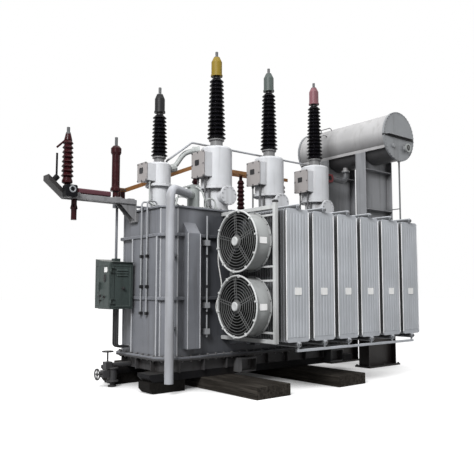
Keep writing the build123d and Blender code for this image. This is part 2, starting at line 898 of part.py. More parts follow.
# Conservator: an oil drum with two foot rails and a flanged oil outlet below
drum_length = conservator_rear_y - conservator_front_y - 2 * end_thickness
shell_front_y = conservator_front_y + end_thickness
shell_rear_y = conservator_rear_y - end_thickness
outlet_z = conservator_z - conservator_radius - pipe_flange_thickness - pipe_flange_reach
breather_x = conservator_x + breather_offset
breather_top_z = conservator_z - conservator_radius
with BuildPart() as conservator_shell:
    drum((conservator_x, shell_front_y, conservator_z), (0, 1, 0), conservator_radius, drum_length)
    rail_top = conservator_z - math.sqrt(conservator_radius ** 2 - rail_offset ** 2) + rail_height / 2
    for side in (-1, 1):
        rail_x = conservator_x + side * rail_offset
        block((rail_x - rail_width / 2, rail_x + rail_width / 2), (shell_front_y, shell_rear_y),
              (rail_top - rail_height, rail_top))
    drum((oil_pipe_drop_x, oil_pipe_y, outlet_z), (0, 0, 1), oil_pipe_radius,
         conservator_z - outlet_z)
    drum((oil_pipe_drop_x, oil_pipe_y, outlet_z), (0, 0, 1), oil_pipe_radius + pipe_flange_reach,
         pipe_flange_thickness)
    drum((breather_x, breather_y, breather_top_z), (0, 0, 1), 2 * breather_radius,
         conservator_z - breather_top_z)
    drum((conservator_x, shell_front_y, conservator_z), (0, 1, 0),
         conservator_radius - conservator_skin, drum_length, Mode.SUBTRACT)
    for angle in rung_angles:
        outward = Vector(-math.cos(math.radians(angle)), 0, math.sin(math.radians(angle)))
        axis_point = Vector(conservator_x, 0, conservator_z)
        root = axis_point + outward * (conservator_radius - conservator_skin)
        reach = axis_point + outward * (conservator_radius + rung_reach)
        near = Vector(0, rung_y, 0)
        far = Vector(0, rung_y + rung_length, 0)
        tube_along(rung_radius, rung_bend, root + near, reach + near, reach + far, root + far)
save(conservator_shell.part, "conservator_shell")

# Conservator ends: flanged discs, the front one with a ledge, an oil gauge and a port
with BuildPart() as conservator_front_end:
    drum((conservator_x, shell_front_y, conservator_z), (0, -1, 0),
         conservator_radius + end_flange_reach, end_thickness)
    ledge_half = 0.86 * conservator_radius
    block((conservator_x - ledge_half, conservator_x + ledge_half),
          (conservator_front_y - end_ledge_depth, conservator_front_y),
          (conservator_z - end_ledge_thickness / 2, conservator_z + end_ledge_thickness / 2))
    drum((conservator_x + 0.4 * conservator_radius, conservator_front_y,
          conservator_z - 0.45 * conservator_radius), (0, -1, 0), gauge_radius, gauge_depth)
    drum((conservator_x - 0.45 * conservator_radius, conservator_front_y,
          conservator_z - 0.45 * conservator_radius), (0, -1, 0), port_radius, gauge_depth / 2)
save(conservator_front_end.part, "conservator_front_end")
with BuildPart() as conservator_rear_end:
    drum((conservator_x, shell_rear_y, conservator_z), (0, 1, 0),
         conservator_radius + end_flange_reach, end_thickness)
save(conservator_rear_end.part, "conservator_rear_end")


def make_column(name, middle_y):
    """A floor-standing H column with stiffeners and a saddle under the conservator."""
    rail_z = rail_top - rail_height
    half_depth = column_depth / 2
    reach = rail_offset + rail_width / 2
    with BuildPart() as column:
        block((conservator_x - reach - column_foot_margin, conservator_x + reach + column_foot_margin),
              (middle_y - half_depth - column_foot_margin, middle_y + half_depth + column_foot_margin),
              (0, column_foot_thickness))
        for side in (-1, 1):
            outer = conservator_x + side * reach
            block((outer - side * column_plate, outer), (middle_y - half_depth, middle_y + half_depth),
                  (column_foot_thickness, rail_z))
        block((conservator_x - reach, conservator_x + reach),
              (middle_y - column_plate / 2, middle_y + column_plate / 2), (column_foot_thickness, rail_z))
        for stiffener_z in column_stiffener_heights:
            block((conservator_x - reach, conservator_x + reach),
                  (middle_y - half_depth, middle_y + half_depth),
                  (stiffener_z - column_plate / 2, stiffener_z + column_plate / 2))
        drum((conservator_x, middle_y - column_depth, conservator_z), (0, 1, 0),
             conservator_radius + 1, 2 * column_depth, Mode.SUBTRACT)
    save(column.part, name)


make_column("front_column", front_column_y)
make_column("rear_column", rear_column_y)

# Breather: a pipe down from the conservator to a drying jar, clamped to the front column
with BuildPart() as breather_pipe:
    drum((breather_x, breather_y, breather_top_z), (0, 0, -1), breather_radius,
         breather_top_z - breather_jar_top)
    drum((breather_x, breather_y, breather_jar_top), (0, 0, -1), breather_jar_radius, breather_jar_height)
    for clamp_z in column_stiffener_heights[1:3]:
        block((breather_x - column_plate, breather_x + column_plate),
              (breather_y, front_column_y - column_depth / 2),
              (clamp_z - column_plate / 2, clamp_z + column_plate / 2))
save(breather_pipe.part, "breather_pipe")

# Oil pipe from the cover to the conservator, with the gas relay in its level run
with BuildPart() as gas_relay_pipe:
    tube_along(oil_pipe_radius, oil_pipe_bend, (oil_pipe_x, oil_pipe_y, cover_z),
               (oil_pipe_x, oil_pipe_y, oil_pipe_level), (oil_pipe_drop_x, oil_pipe_y, oil_pipe_level),
               (oil_pipe_drop_x, oil_pipe_y, outlet_z))
    flange_radius = oil_pipe_radius + pipe_flange_reach
    drum((oil_pipe_x, oil_pipe_y, cover_z), (0, 0, 1), flange_radius, pipe_flange_thickness)
    drum((oil_pipe_drop_x, oil_pipe_y, outlet_z), (0, 0, -1), flange_radius, pipe_flange_thickness)
    block((relay_x - relay_length / 2, relay_x + relay_length / 2),
          (oil_pipe_y - relay_size / 2, oil_pipe_y + relay_size / 2),
          (oil_pipe_level - relay_size / 2, oil_pipe_level + relay_size / 2))
    for side in (-1, 1):
        drum((relay_x + side * relay_length / 2, oil_pipe_y, oil_pipe_level), (side, 0, 0),
             flange_radius, pipe_flange_thickness)
save(gas_relay_pipe.part, "gas_relay_pipe")

# Vent pipe over the turret heads, standing on a foot on each one
vent_z = turret_top_z + vent_lift
vent_y = phase_y + (bushing_neck_radius + turret_radius - turret_shoulder) / 2
with BuildPart() as vent_pipe:
    neutral_vent_x = neutral_x + (neutral_neck_radius + neutral_radius) / 2
    tube_along(vent_radius, 3 * vent_radius, (neutral_vent_x, neutral_y, neutral_top_z),
               (neutral_vent_x, neutral_y, neutral_top_z + vent_lift),
               (phase_x["a"] - 1.5 * turret_radius, vent_y, vent_z),
               (phase_x["c"], vent_y, vent_z))
    for x in phase_x.values():
        drum((x, vent_y, turret_top_z), (0, 0, 1), vent_radius, vent_lift)
        drum((x, vent_y, turret_top_z), (0, 0, 1), 1.6 * vent_radius, vent_radius)
save(vent_pipe.part, "vent_pipe")

# Relief valve on the cover with its outlet pipe led down past the corner
with BuildPart() as relief_pipe:
    outlet_level = cover_z + relief_pipe_level
    drum((relief_valve_x, relief_valve_y, cover_z), (0, 0, 1),
         relief_valve_radius + pipe_flange_reach, pipe_flange_thickness)
    drum((relief_valve_x, relief_valve_y, cover_z), (0, 0, 1), relief_valve_radius, relief_valve_height)
    block((relief_valve_x - relief_head_size / 2, relief_valve_x + relief_head_size / 2),
          (relief_valve_y - relief_head_size / 2, relief_valve_y + relief_head_size / 2),
          (cover_z + relief_valve_height, cover_z + relief_valve_height + relief_head_size / 2))
    tube_along(relief_pipe_radius, relief_bend, (relief_valve_x, relief_valve_y, outlet_level),
               (relief_pipe_x, relief_pipe_y, outlet_level),
               (relief_pipe_x, relief_pipe_y, relief_pipe_foot))
    corner_gap = (-relief_pipe_x - relief_pipe_y - half_length - half_width + tank_corner) / math.sqrt(2)
    for clamp_z in clamp_heights:
        with BuildSketch(Plane(origin=(relief_pipe_x, relief_pipe_y, clamp_z), z_dir=(1, 1, 0))):
            Rectangle(clamp_size, clamp_size)
        extrude(amount=corner_gap)
save(relief_pipe.part, "relief_pipe")

# Tap changer drive cabinet: a box open to the left under a sloping roof
box_back = left_end - cabinet_standoff
box_front = box_back - cabinet_depth
cabinet_low_y = cabinet_y - cabinet_width / 2
cabinet_high_y = cabinet_y + cabinet_width / 2
cabinet_top = cabinet_lift + cabinet_height
hinge_x = box_front - door_gap - door_thickness / 2
hinge_y = cabinet_low_y - hinge_offset
gland_z = cabinet_top + 2 * roof_rise
bracket_low_z = joint_z + lower_band_height + 2 * band_height
hinge_levels = (cabinet_lift + hinge_inset, cabinet_top - hinge_inset)
with BuildPart() as drive_cabinet:
    block((box_front, box_back), (cabinet_low_y, cabinet_high_y), (cabinet_lift, cabinet_top))
    block((box_front, box_back - cabinet_skin),
          (cabinet_low_y + cabinet_skin, cabinet_high_y - cabinet_skin),
          (cabinet_lift + cabinet_skin, cabinet_top - cabinet_skin), Mode.SUBTRACT)
    with BuildSketch(Plane.YZ.offset(box_front)):
        with BuildLine():
            Polyline(
                (cabinet_low_y - roof_reach, cabinet_top),
                (cabinet_high_y + roof_reach, cabinet_top),
                (cabinet_high_y + roof_reach, cabinet_top + roof_rise),
                (cabinet_low_y - roof_reach, cabinet_top + roof_rise / 4),
                close=True,
            )
        make_face()
    extrude(amount=cabinet_depth)
    for bracket_z in (bracket_low_z, bracket_low_z + bracket_pitch):
        block((box_back, left_end), (end_panel_y, cabinet_high_y), (bracket_z, bracket_z + frame_bar))
    block((drive_shaft_x - gear_size / 2, drive_shaft_x + gear_size / 2),
          (drive_y - gear_size / 2, drive_y + gear_size / 2), (cabinet_top, gland_z))
    for level in hinge_levels:
        for lug_z in (level - hinge_length / 2 - hinge_radius, level + hinge_length / 2):
            block((hinge_x - hinge_radius, box_front + hinge_length),
                  (hinge_y - hinge_radius, hinge_y + hinge_radius), (lug_z, lug_z + hinge_radius))
            block((box_front, box_front + hinge_length),
                  (hinge_y + hinge_radius, cabinet_low_y), (lug_z, lug_z + hinge_radius))
        drum((hinge_x, hinge_y, level - hinge_length / 2), (0, 0, 1), hinge_pin_radius, hinge_length)
save(drive_cabinet.part, "drive_cabinet")

# Cabinet door with two knuckles on the hinge pins and a handle
with BuildPart() as cabinet_door:
    door_x = (box_front - door_gap - door_thickness, box_front - door_gap)
    block(door_x, (cabinet_low_y, cabinet_high_y), (cabinet_lift, cabinet_top - door_gap))
    knuckle = hinge_length - 2 * door_gap
    for level in hinge_levels:
        drum((hinge_x, hinge_y, level - knuckle / 2), (0, 0, 1), hinge_radius, knuckle)
        block((hinge_x - hinge_radius, hinge_x + hinge_radius), (hinge_y, cabinet_low_y + hinge_radius),
              (level - knuckle / 2, level + knuckle / 2))
        drum((hinge_x, hinge_y, level - knuckle / 2), (0, 0, 1), hinge_pin_radius + hinge_clearance,
             knuckle, Mode.SUBTRACT)
    handle_y = cabinet_high_y - hinge_inset / 2
    handle_z = cabinet_lift + cabinet_height / 2
    block((door_x[0] - 2 * door_thickness, door_x[0]), (handle_y - hinge_radius, handle_y + hinge_radius),
          (handle_z - hinge_length, handle_z + hinge_length))
save(cabinet_door.part, "cabinet_door")

# Wiring cabinet beside the drive, closed and under its own sloping roof
with BuildPart() as terminal_cabinet:
    near_y = cabinet_high_y + terminal_cabinet_gap
    far_y = near_y + terminal_cabinet_width
    with BuildSketch(Plane.YZ.offset(box_back)):
        with BuildLine():
            Polyline(
                (near_y, cabinet_lift),
                (far_y, cabinet_lift),
                (far_y, cabinet_top + 2 * roof_rise),
                (near_y, cabinet_top + roof_rise),
                close=True,
            )
        make_face()
    extrude(amount=-terminal_cabinet_depth)
    block((box_back, left_end), (near_y, half_width - tank_corner),
          (cabinet_lift + cabinet_height / 2, cabinet_lift + cabinet_height / 2 + 2 * frame_bar))
save(terminal_cabinet.part, "terminal_cabinet")

# Tap changer head on the cover with its gear box
drive_z = cover_z + drive_level
with BuildPart() as tap_changer_head:
    turned(tap_head_x, drive_y, [
        (0, cover_z),
        (tap_head_radius + turret_flange_reach, cover_z),
        (tap_head_radius + turret_flange_reach, cover_z + turret_flange_thickness),
        (tap_head_radius, cover_z + turret_flange_thickness),
        (tap_head_radius, cover_z + tap_head_height - turret_shoulder),
        (tap_head_radius - turret_shoulder, cover_z + tap_head_height),
        (0, cover_z + tap_head_height),
    ])
    block((tap_head_x - tap_head_radius - gear_size, tap_head_x),
          (drive_y - gear_size / 2, drive_y + gear_size / 2),
          (cover_z + turret_flange_thickness, cover_z + tap_head_height))
save(tap_changer_head.part, "tap_changer_head")

# Drive shaft: up from the cabinet, through a bevel box and along to the head
with BuildPart() as drive_shaft:
    drum((drive_shaft_x, drive_y, gland_z), (0, 0, 1), drive_shaft_radius, drive_z - gland_z)
    block((drive_shaft_x - gear_size / 2, drive_shaft_x + gear_size / 2),
          (drive_y - gear_size / 2, drive_y + gear_size / 2),
          (drive_z - gear_size / 2, drive_z + gear_size / 2))
    drum((drive_shaft_x, drive_y, drive_z), (1, 0, 0), drive_shaft_radius,
         tap_head_x - tap_head_radius - gear_size - drive_shaft_x)
save(drive_shaft.part, "drive_shaft")

# Centre lines of the three low-voltage bars
bar_ys = [first_bar_y + index * bar_spacing for index in range(3)]

# Bracket arm: two channels on a wall plate with knee gussets, and a raised tip plate
arm_z = cover_z + arm_rise
arm_top = arm_z + arm_channel_height
arm_root = left_end - end_panel_depth
with BuildPart() as bracket_arm:
    for channel_y in (arm_near_y, arm_far_y):
        width = (channel_y - arm_channel_width / 2, channel_y + arm_channel_width / 2)
        block((arm_tip_x, arm_root), width, (arm_z, arm_top))
        with BuildSketch(Plane.XZ.offset(-channel_y - column_plate / 2)):
            with BuildLine():
                Polyline(
                    (arm_root, arm_top),
                    (arm_root - arm_knee_drop, arm_top),
                    (arm_root, arm_top - arm_knee_drop),
                    close=True,
                )
            make_face()
        extrude(amount=column_plate)
    arm_y = (arm_near_y - arm_channel_width / 2, arm_far_y + arm_channel_width / 2)
    block((arm_root - column_plate, left_end), arm_y,
          (arm_top - arm_knee_drop, bell_top_z - cover_thickness))
    block((arm_root - column_plate, arm_root), arm_y, (arm_top - arm_knee_drop, arm_top))
    for cross_x in (post_insulator_x, hanging_insulator_x, arrester_x):
        block((cross_x - arm_channel_width, cross_x + arm_channel_width), arm_y,
              (arm_top, arm_top + column_plate))
    block((bar_left_x, bar_left_x + bar_foot), (arm_y[0], bar_ys[-1] + arm_channel_width),
          (arm_top, arm_top + column_plate))
    with BuildSketch(Plane.XZ.offset(-arm_y[1])):
        with BuildLine():
            Polyline(
                (arm_tip_x, arm_z),
                (arm_tip_x, arm_top),
                (arm_tip_x - arm_tip_run, arm_top + arm_tip_rise),
                (arm_tip_x - arm_tip_run, arm_top + arm_tip_rise - arm_channel_height),
                close=True,
            )
        make_face()
    extrude(amount=arm_y[1] - arm_y[0])
save(bracket_arm.part, "bracket_arm")

arm_middle_y = (arm_near_y + arm_far_y) / 2
arm_plate_z = arm_top + column_plate

# Surge arrester: a smooth column on a flange, with a ringed head and a terminal
with BuildPart() as surge_arrester:
    foot_z = arm_plate_z + arrester_pedestal_height
    shank_z = foot_z + arrester_foot_height
    head_z = shank_z + arrester_height
    turned(arrester_x, arm_middle_y, [
        (0, arm_plate_z),
        (arrester_pedestal_radius, arm_plate_z),
        (arrester_pedestal_radius, foot_z),
        (arrester_head_radius, foot_z),
        (arrester_head_radius, foot_z + arrester_foot_height / 2),
        (arrester_radius, shank_z),
        (arrester_radius, head_z),
        (arrester_head_radius, head_z + arrester_foot_height / 2),
        (arrester_head_radius, head_z + 3 * arrester_foot_height / 2),
        (2 * arrester_stud_radius, head_z + 2 * arrester_foot_height),
        (arrester_stud_radius, head_z + 2 * arrester_foot_height),
        (arrester_stud_radius, head_z + 2 * arrester_foot_height + arrester_stud_height),
        (0, head_z + 2 * arrester_foot_height + arrester_stud_height),
    ])
save(surge_arrester.part, "surge_arrester")

# Insulators on the arm: a ribbed post with its electrode, one that hangs below, and a sleeved bar
with BuildPart() as arm_insulators:
    post_z = arm_plate_z + post_foot_height
    post_top_z = post_z + post_height
    turned(post_insulator_x, arm_middle_y,
           shed_outline(post_z, post_height, post_shed_count, post_radius, 0.85 * post_radius))
    turned(post_insulator_x, arm_middle_y, [
        (0, arm_plate_z),
        (post_foot_radius, arm_plate_z),
        (post_foot_radius, post_z - 0.45 * post_foot_height),
        (0.85 * post_radius, post_z - 0.35 * post_foot_height),
        (0.85 * post_radius, post_z - 0.2 * post_foot_height),
        (core_ratio * post_radius, post_z),
        (0, post_z),
    ])
    turned(post_insulator_x, arm_middle_y, [
        (0, post_top_z),
        (core_ratio * post_radius, post_top_z),
        (stud_radius * 1.4, post_top_z + post_head_height),
        (stud_radius, post_top_z + post_head_height),
        (stud_radius, post_top_z + post_head_height + post_stud_height),
        (0, post_top_z + post_head_height + post_stud_height),
    ])
    drum((post_insulator_x, arm_middle_y, post_top_z + post_head_height / 3), (-1, 0, -1),
         electrode_radius, 2 * post_head_height)
    turned(hanging_insulator_x, arm_middle_y, [
        (0, arm_top),
        (hanging_radius, arm_top),
        (hanging_radius, arm_top - 0.4 * hanging_length),
        (hanging_radius + hanging_shed_reach, arm_top - 0.55 * hanging_length),
        (hanging_radius, arm_top - 0.6 * hanging_length),
        (hanging_radius, arm_top - hanging_length),
        (0, arm_top - hanging_length),
    ])
    sleeve_x = hanging_insulator_x - arm_channel_width
    with BuildSketch(Plane(origin=(sleeve_x, arm_middle_y, arm_plate_z + sleeve_height / 2),
                           x_dir=(0, 1, 0), z_dir=(1, 0, 0))):
        RectangleRounded(sleeve_width, sleeve_height, sleeve_round)
    extrude(amount=sleeve_length)
save(arm_insulators.part, "arm_insulators")

# Lower electrode of the spark gap on the raised tip, and the current transformer on the arm
tip_slope = arm_tip_rise / arm_tip_run
gap_x = arm_tip_x - gap_reach
gap_z = arm_top + gap_reach * tip_slope
with BuildPart() as spark_gap:
    lean = Vector(-tip_slope, 0, -1).normalized() * -1
    drum((gap_x, arm_middle_y, gap_z), lean, gap_insulator_radius, gap_insulator_height)
    rod_foot = Vector(gap_x, arm_middle_y, gap_z) + lean * (gap_insulator_height * 0.8)
    drum(rod_foot.to_tuple(), (0, 0, 1), electrode_radius, gap_rod_length)
    box_x = arm_tip_x - transformer_box_overhang + transformer_box_length / 2
    with BuildSketch(Plane(origin=(box_x, arm_y[0], arm_z + transformer_box_height / 2),
                           x_dir=(1, 0, 0), z_dir=(0, -1, 0))):
        RectangleRounded(transformer_box_length, transformer_box_height, transformer_box_round)
    extrude(amount=transformer_box_depth)
save(spark_gap.part, "spark_gap")

# Low-voltage bars: three flat bars that climb from the left end and run level behind the turrets
with BuildPart() as busbars:
    for bar_y in bar_ys:
        with BuildSketch(Plane.XZ.offset(-bar_y - bar_thickness / 2)):
            with BuildLine():
                Polyline(
                    (bar_left_x, bar_left_z),
                    (bar_left_x + bar_foot, bar_left_z),
                    (bar_bend_x, bar_z),
                    (bar_right_x, bar_z),
                    (bar_right_x, bar_z + bar_depth),
                    (bar_bend_x, bar_z + bar_depth),
                    (bar_left_x + bar_foot, bar_left_z + bar_depth),
                    (bar_left_x, bar_left_z + bar_depth),
                    close=True,
                )
            make_face()
        extrude(amount=bar_thickness)
save(busbars.part, "busbars")

# Low-voltage bushings on the cover, one under each bar, and supports under the bars' left ends
with BuildPart() as low_voltage_bushings:
    sheds_z = cover_z + low_bushing_foot
    sheds_height = bar_z - low_bushing_stud - sheds_z
    for index, bar_y in enumerate(bar_ys):
        x = low_bushing_right_x - index * low_bushing_pitch
        turned(x, bar_y, shed_outline(sheds_z, sheds_height, low_shed_count, low_bushing_radius,
                                      0.9 * low_bushing_radius))
        drum((x, bar_y, cover_z), (0, 0, 1), 0.8 * low_bushing_radius, low_bushing_foot)
        drum((x, bar_y, bar_z), (0, 0, -1), 0.4 * low_bushing_radius, low_bushing_stud)
        drum((bar_left_x + bar_foot / 2, bar_y, arm_plate_z), (0, 0, 1), 0.5 * low_bushing_radius,
             bar_left_z - arm_plate_z)
save(low_voltage_bushings.part, "low_voltage_bushings")



def add_valve(body, stem, reach):
    """A valve body with its stem and a spoked hand wheel at the stem's end."""
    half_valve = drain_valve_size / 2
    block(*[(middle - half_valve, middle + half_valve) for middle in body])
    drum(body, stem, stem_radius, reach)
    wheel_plane = Plane(origin=Vector(*body) + Vector(*stem) * reach, z_dir=stem)
    with BuildSketch(wheel_plane) as wheel:
        Circle(wheel_radius)
        Circle(wheel_radius - wheel_rim, mode=Mode.SUBTRACT)
        with PolarLocations(wheel_radius / 2, wheel_spokes):
            Rectangle(wheel_radius, wheel_rim * 0.7)
        Circle(2 * stem_radius)
    extrude(wheel.sketch, amount=wheel_rim)


# Drain valves: a branch from the lower tank to a standing leg, with two hand-wheel valves
with BuildPart() as drain_valve:
    upper_x = drain_leg_x - drain_valve_gap
    lower_z = drain_z - drain_lower_drop
    drum((left_end, drain_y, drain_z), (-1, 0, 0), drain_pipe_radius, left_end - upper_x)
    drum((drain_leg_x, drain_y, drain_z), (0, 0, -1), drain_pipe_radius, drain_z)
    drum((drain_leg_x, drain_y, 0), (0, 0, 1), drain_foot_radius, pipe_flange_thickness)
    drum((drain_leg_x, drain_y, lower_z), (-1, 0, 0), drain_pipe_radius, drain_leg_x - upper_x)
    add_valve((upper_x, drain_y, drain_z), (0, 0, 1), drain_stem_length)
    add_valve((upper_x - drain_valve_gap / 2, drain_y, lower_z), (-1, 0, 0), drain_lower_stem_length)
save(drain_valve.part, "drain_valve")

# Conduits: two down the raised end panel, three under the drive cabinet, one on the front wall
with BuildPart() as wall_conduits:
    panel_face = left_end - end_panel_depth
    conduit_x = left_end - band_reach - conduit_radius
    for conduit_y in conduit_ys:
        drop_x = left_end + conduit_drop_inset
        tube_along(conduit_radius, conduit_bend, (conduit_x, conduit_y, conduit_low_z),
                   (conduit_x, conduit_y, cover_z + conduit_drop_inset),
                   (drop_x, conduit_y, cover_z + conduit_drop_inset), (drop_x, conduit_y, cover_z))
        for clip_z in conduit_clip_heights:
            block((conduit_x - conduit_radius - conduit_radius / 2, panel_face),
                  (conduit_y - conduit_clip_size / 2, conduit_y + conduit_clip_size / 2),
                  (clip_z - conduit_clip_size / 2, clip_z + conduit_clip_size / 2))
    for step in (-1, 0, 1):
        conduit_y = cabinet_y + step * cabinet_conduit_pitch
        drop_x = (box_front + box_back) / 2
        tube_along(cabinet_conduit_radius, conduit_bend, (drop_x, conduit_y, cabinet_lift),
                   (drop_x, conduit_y, cabinet_conduit_low_z), (left_end, conduit_y, cabinet_conduit_low_z))
    front_y = -half_width - front_conduit_standoff
    drum((front_conduit_x, front_y, front_conduit_low_z), (0, 0, 1), conduit_radius,
         front_conduit_high_z - front_conduit_low_z)
    for box_z in (joint_z + lower_band_height - front_box_size, joint_z + upper_band_height - front_box_size,
                  front_conduit_low_z + front_box_size):
        block((front_conduit_x - front_box_size / 2, front_conduit_x + front_box_size / 2),
              (front_y - front_box_size / 3, -half_width),
              (box_z - front_box_size / 2, box_z + front_box_size / 2))
save(wall_conduits.part, "wall_conduits")
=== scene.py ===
import bpy
import math
from mathutils import Matrix
from mathutils import Vector


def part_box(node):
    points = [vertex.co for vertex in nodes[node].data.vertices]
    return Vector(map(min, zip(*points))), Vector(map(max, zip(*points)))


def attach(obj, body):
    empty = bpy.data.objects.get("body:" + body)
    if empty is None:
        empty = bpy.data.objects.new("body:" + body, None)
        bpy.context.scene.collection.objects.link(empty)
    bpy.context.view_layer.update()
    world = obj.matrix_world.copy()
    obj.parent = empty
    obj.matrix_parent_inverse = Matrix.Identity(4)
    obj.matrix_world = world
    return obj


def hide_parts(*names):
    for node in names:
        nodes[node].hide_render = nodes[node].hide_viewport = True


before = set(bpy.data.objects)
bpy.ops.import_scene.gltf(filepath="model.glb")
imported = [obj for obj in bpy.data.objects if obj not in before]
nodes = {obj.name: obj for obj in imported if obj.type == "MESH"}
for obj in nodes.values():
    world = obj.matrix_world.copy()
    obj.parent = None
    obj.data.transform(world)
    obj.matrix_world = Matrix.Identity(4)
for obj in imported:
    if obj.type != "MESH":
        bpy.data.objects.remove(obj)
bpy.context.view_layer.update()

bpy.ops.object.select_all(action="DESELECT")


# Timber sleepers: two rows of three squared baulks, laid across under the skids.
# Sawn hardwood gone dark outdoors, with drying checks along the grain; the unit only rests on them.
def blank_finish(name):
    """A new finish with its shader, and the piece's own coordinates to lay patterns on."""
    finish = bpy.data.materials.new(name)
    finish.use_nodes = True
    tree = finish.node_tree
    shader = tree.nodes["Principled BSDF"]
    place = tree.nodes.new("ShaderNodeTexCoord").outputs["Object"]
    return finish, tree, shader, place


def clouding(tree, place, scale, detail=4.0, stretch=(1, 1, 1)):
    """Random clouds with a number of spots per metre, drawn out along the axes that stretch shrinks."""
    mapping = tree.nodes.new("ShaderNodeMapping")
    mapping.inputs["Scale"].default_value = stretch
    tree.links.new(place, mapping.inputs["Vector"])
    noise = tree.nodes.new("ShaderNodeTexNoise")
    noise.inputs["Scale"].default_value = scale
    noise.inputs["Detail"].default_value = detail
    tree.links.new(mapping.outputs["Vector"], noise.inputs["Vector"])
    return noise.outputs[0]


def spread(tree, value, low, high, start, stop):
    """The stretch from low to high of a value, turned into start to stop."""
    node = tree.nodes.new("ShaderNodeMapRange")
    for socket, number in (("From Min", low), ("From Max", high), ("To Min", start), ("To Max", stop)):
        node.inputs[socket].default_value = number
    tree.links.new(value, node.inputs["Value"])
    return node.outputs["Result"]


def blend_tints(tree, amount, under, over):
    """One tint or colour output laid over another by an amount."""
    node = tree.nodes.new("ShaderNodeMix")
    node.data_type = "RGBA"
    tree.links.new(amount, node.inputs[0])
    for socket, tint in ((node.inputs[6], under), (node.inputs[7], over)):
        if isinstance(tint, tuple):
            socket.default_value = (*tint, 1)
        else:
            tree.links.new(tint, socket)
    return node.outputs[2]


def raise_surface(tree, height, depth, normal=None):
    """A relief of a depth in metres from a height output, on top of another relief."""
    bump = tree.nodes.new("ShaderNodeBump")
    bump.inputs["Distance"].default_value = depth
    tree.links.new(height, bump.inputs["Height"])
    if normal is not None:
        tree.links.new(normal, bump.inputs["Normal"])
    return bump.outputs["Normal"]


def paint_nodes(finish, *names):
    """Gives CAD nodes their finish."""
    for name in names:
        nodes[name].data.materials.clear()
        nodes[name].data.materials.append(finish)


def old_timber(name, pale, dark):
    """Sawn wood with its grain along Y, blotched by weather and split by narrow checks."""
    finish, tree, shader, place = blank_finish(name)
    grain = clouding(tree, place, 26, 7, (1, 0.045, 1))
    checks = spread(tree, clouding(tree, place, 60, 3, (1, 0.02, 1)), 0.34, 0.42, 0, 1)
    weather = clouding(tree, place, 2.2, 5)
    wood = blend_tints(tree, spread(tree, grain, 0.35, 0.65, 0, 1), dark, pale)
    wood = blend_tints(tree, spread(tree, weather, 0.4, 0.7, 0, 0.6), wood, dark)
    check_black = (0.008, 0.007, 0.006)
    tree.links.new(blend_tints(tree, checks, check_black, wood), shader.inputs["Base Color"])
    tree.links.new(spread(tree, grain, 0.3, 0.7, 0.75, 0.92), shader.inputs["Roughness"])
    shader.inputs["Specular IOR Level"].default_value = 0.1
    relief = raise_surface(tree, grain, 0.006)
    tree.links.new(raise_surface(tree, checks, 0.008, relief), shader.inputs["Normal"])
    return finish


sleeper_timber = old_timber("sleeper_timber", (0.058, 0.0515, 0.0445), (0.016, 0.0135, 0.011))
paint_nodes(sleeper_timber, "sleepers")


# Skids and lower tank: welded plate beams and a shallow tray with a gusseted flange.
# Steel under near-black and dark grey paint, dusty on top and paler along the edges, part wear and part
# painted highlight.
def axis_parts(tree, vector):
    """The three parts of a vector output, by axis."""
    parts = tree.nodes.new("ShaderNodeSeparateXYZ")
    tree.links.new(vector, parts.inputs[0])
    return parts.outputs


def reckon(tree, operation, *values, vectors=False):
    """A sum on outputs or plain values, or on vectors where asked."""
    node = tree.nodes.new("ShaderNodeVectorMath" if vectors else "ShaderNodeMath")
    node.operation = operation
    for socket, value in zip(node.inputs, values):
        if isinstance(value, bpy.types.NodeSocket):
            tree.links.new(value, socket)
        else:
            socket.default_value = value
    return node.outputs["Vector" if vectors and operation != "DOT_PRODUCT" else "Value"]


def soft_edges(tree, radius):
    """The way a surface faces, with its sharp edges rounded off by a radius."""
    rounding = tree.nodes.new("ShaderNodeBevel")
    rounding.samples = 4
    rounding.inputs["Radius"].default_value = radius
    return rounding.outputs["Normal"]


def openness(tree, reach, samples):
    """How open a point is to the air within a reach: nothing where hidden, one where free."""
    node = tree.nodes.new("ShaderNodeAmbientOcclusion")
    node.samples = samples
    node.inputs["Distance"].default_value = reach
    return node.outputs["AO"]


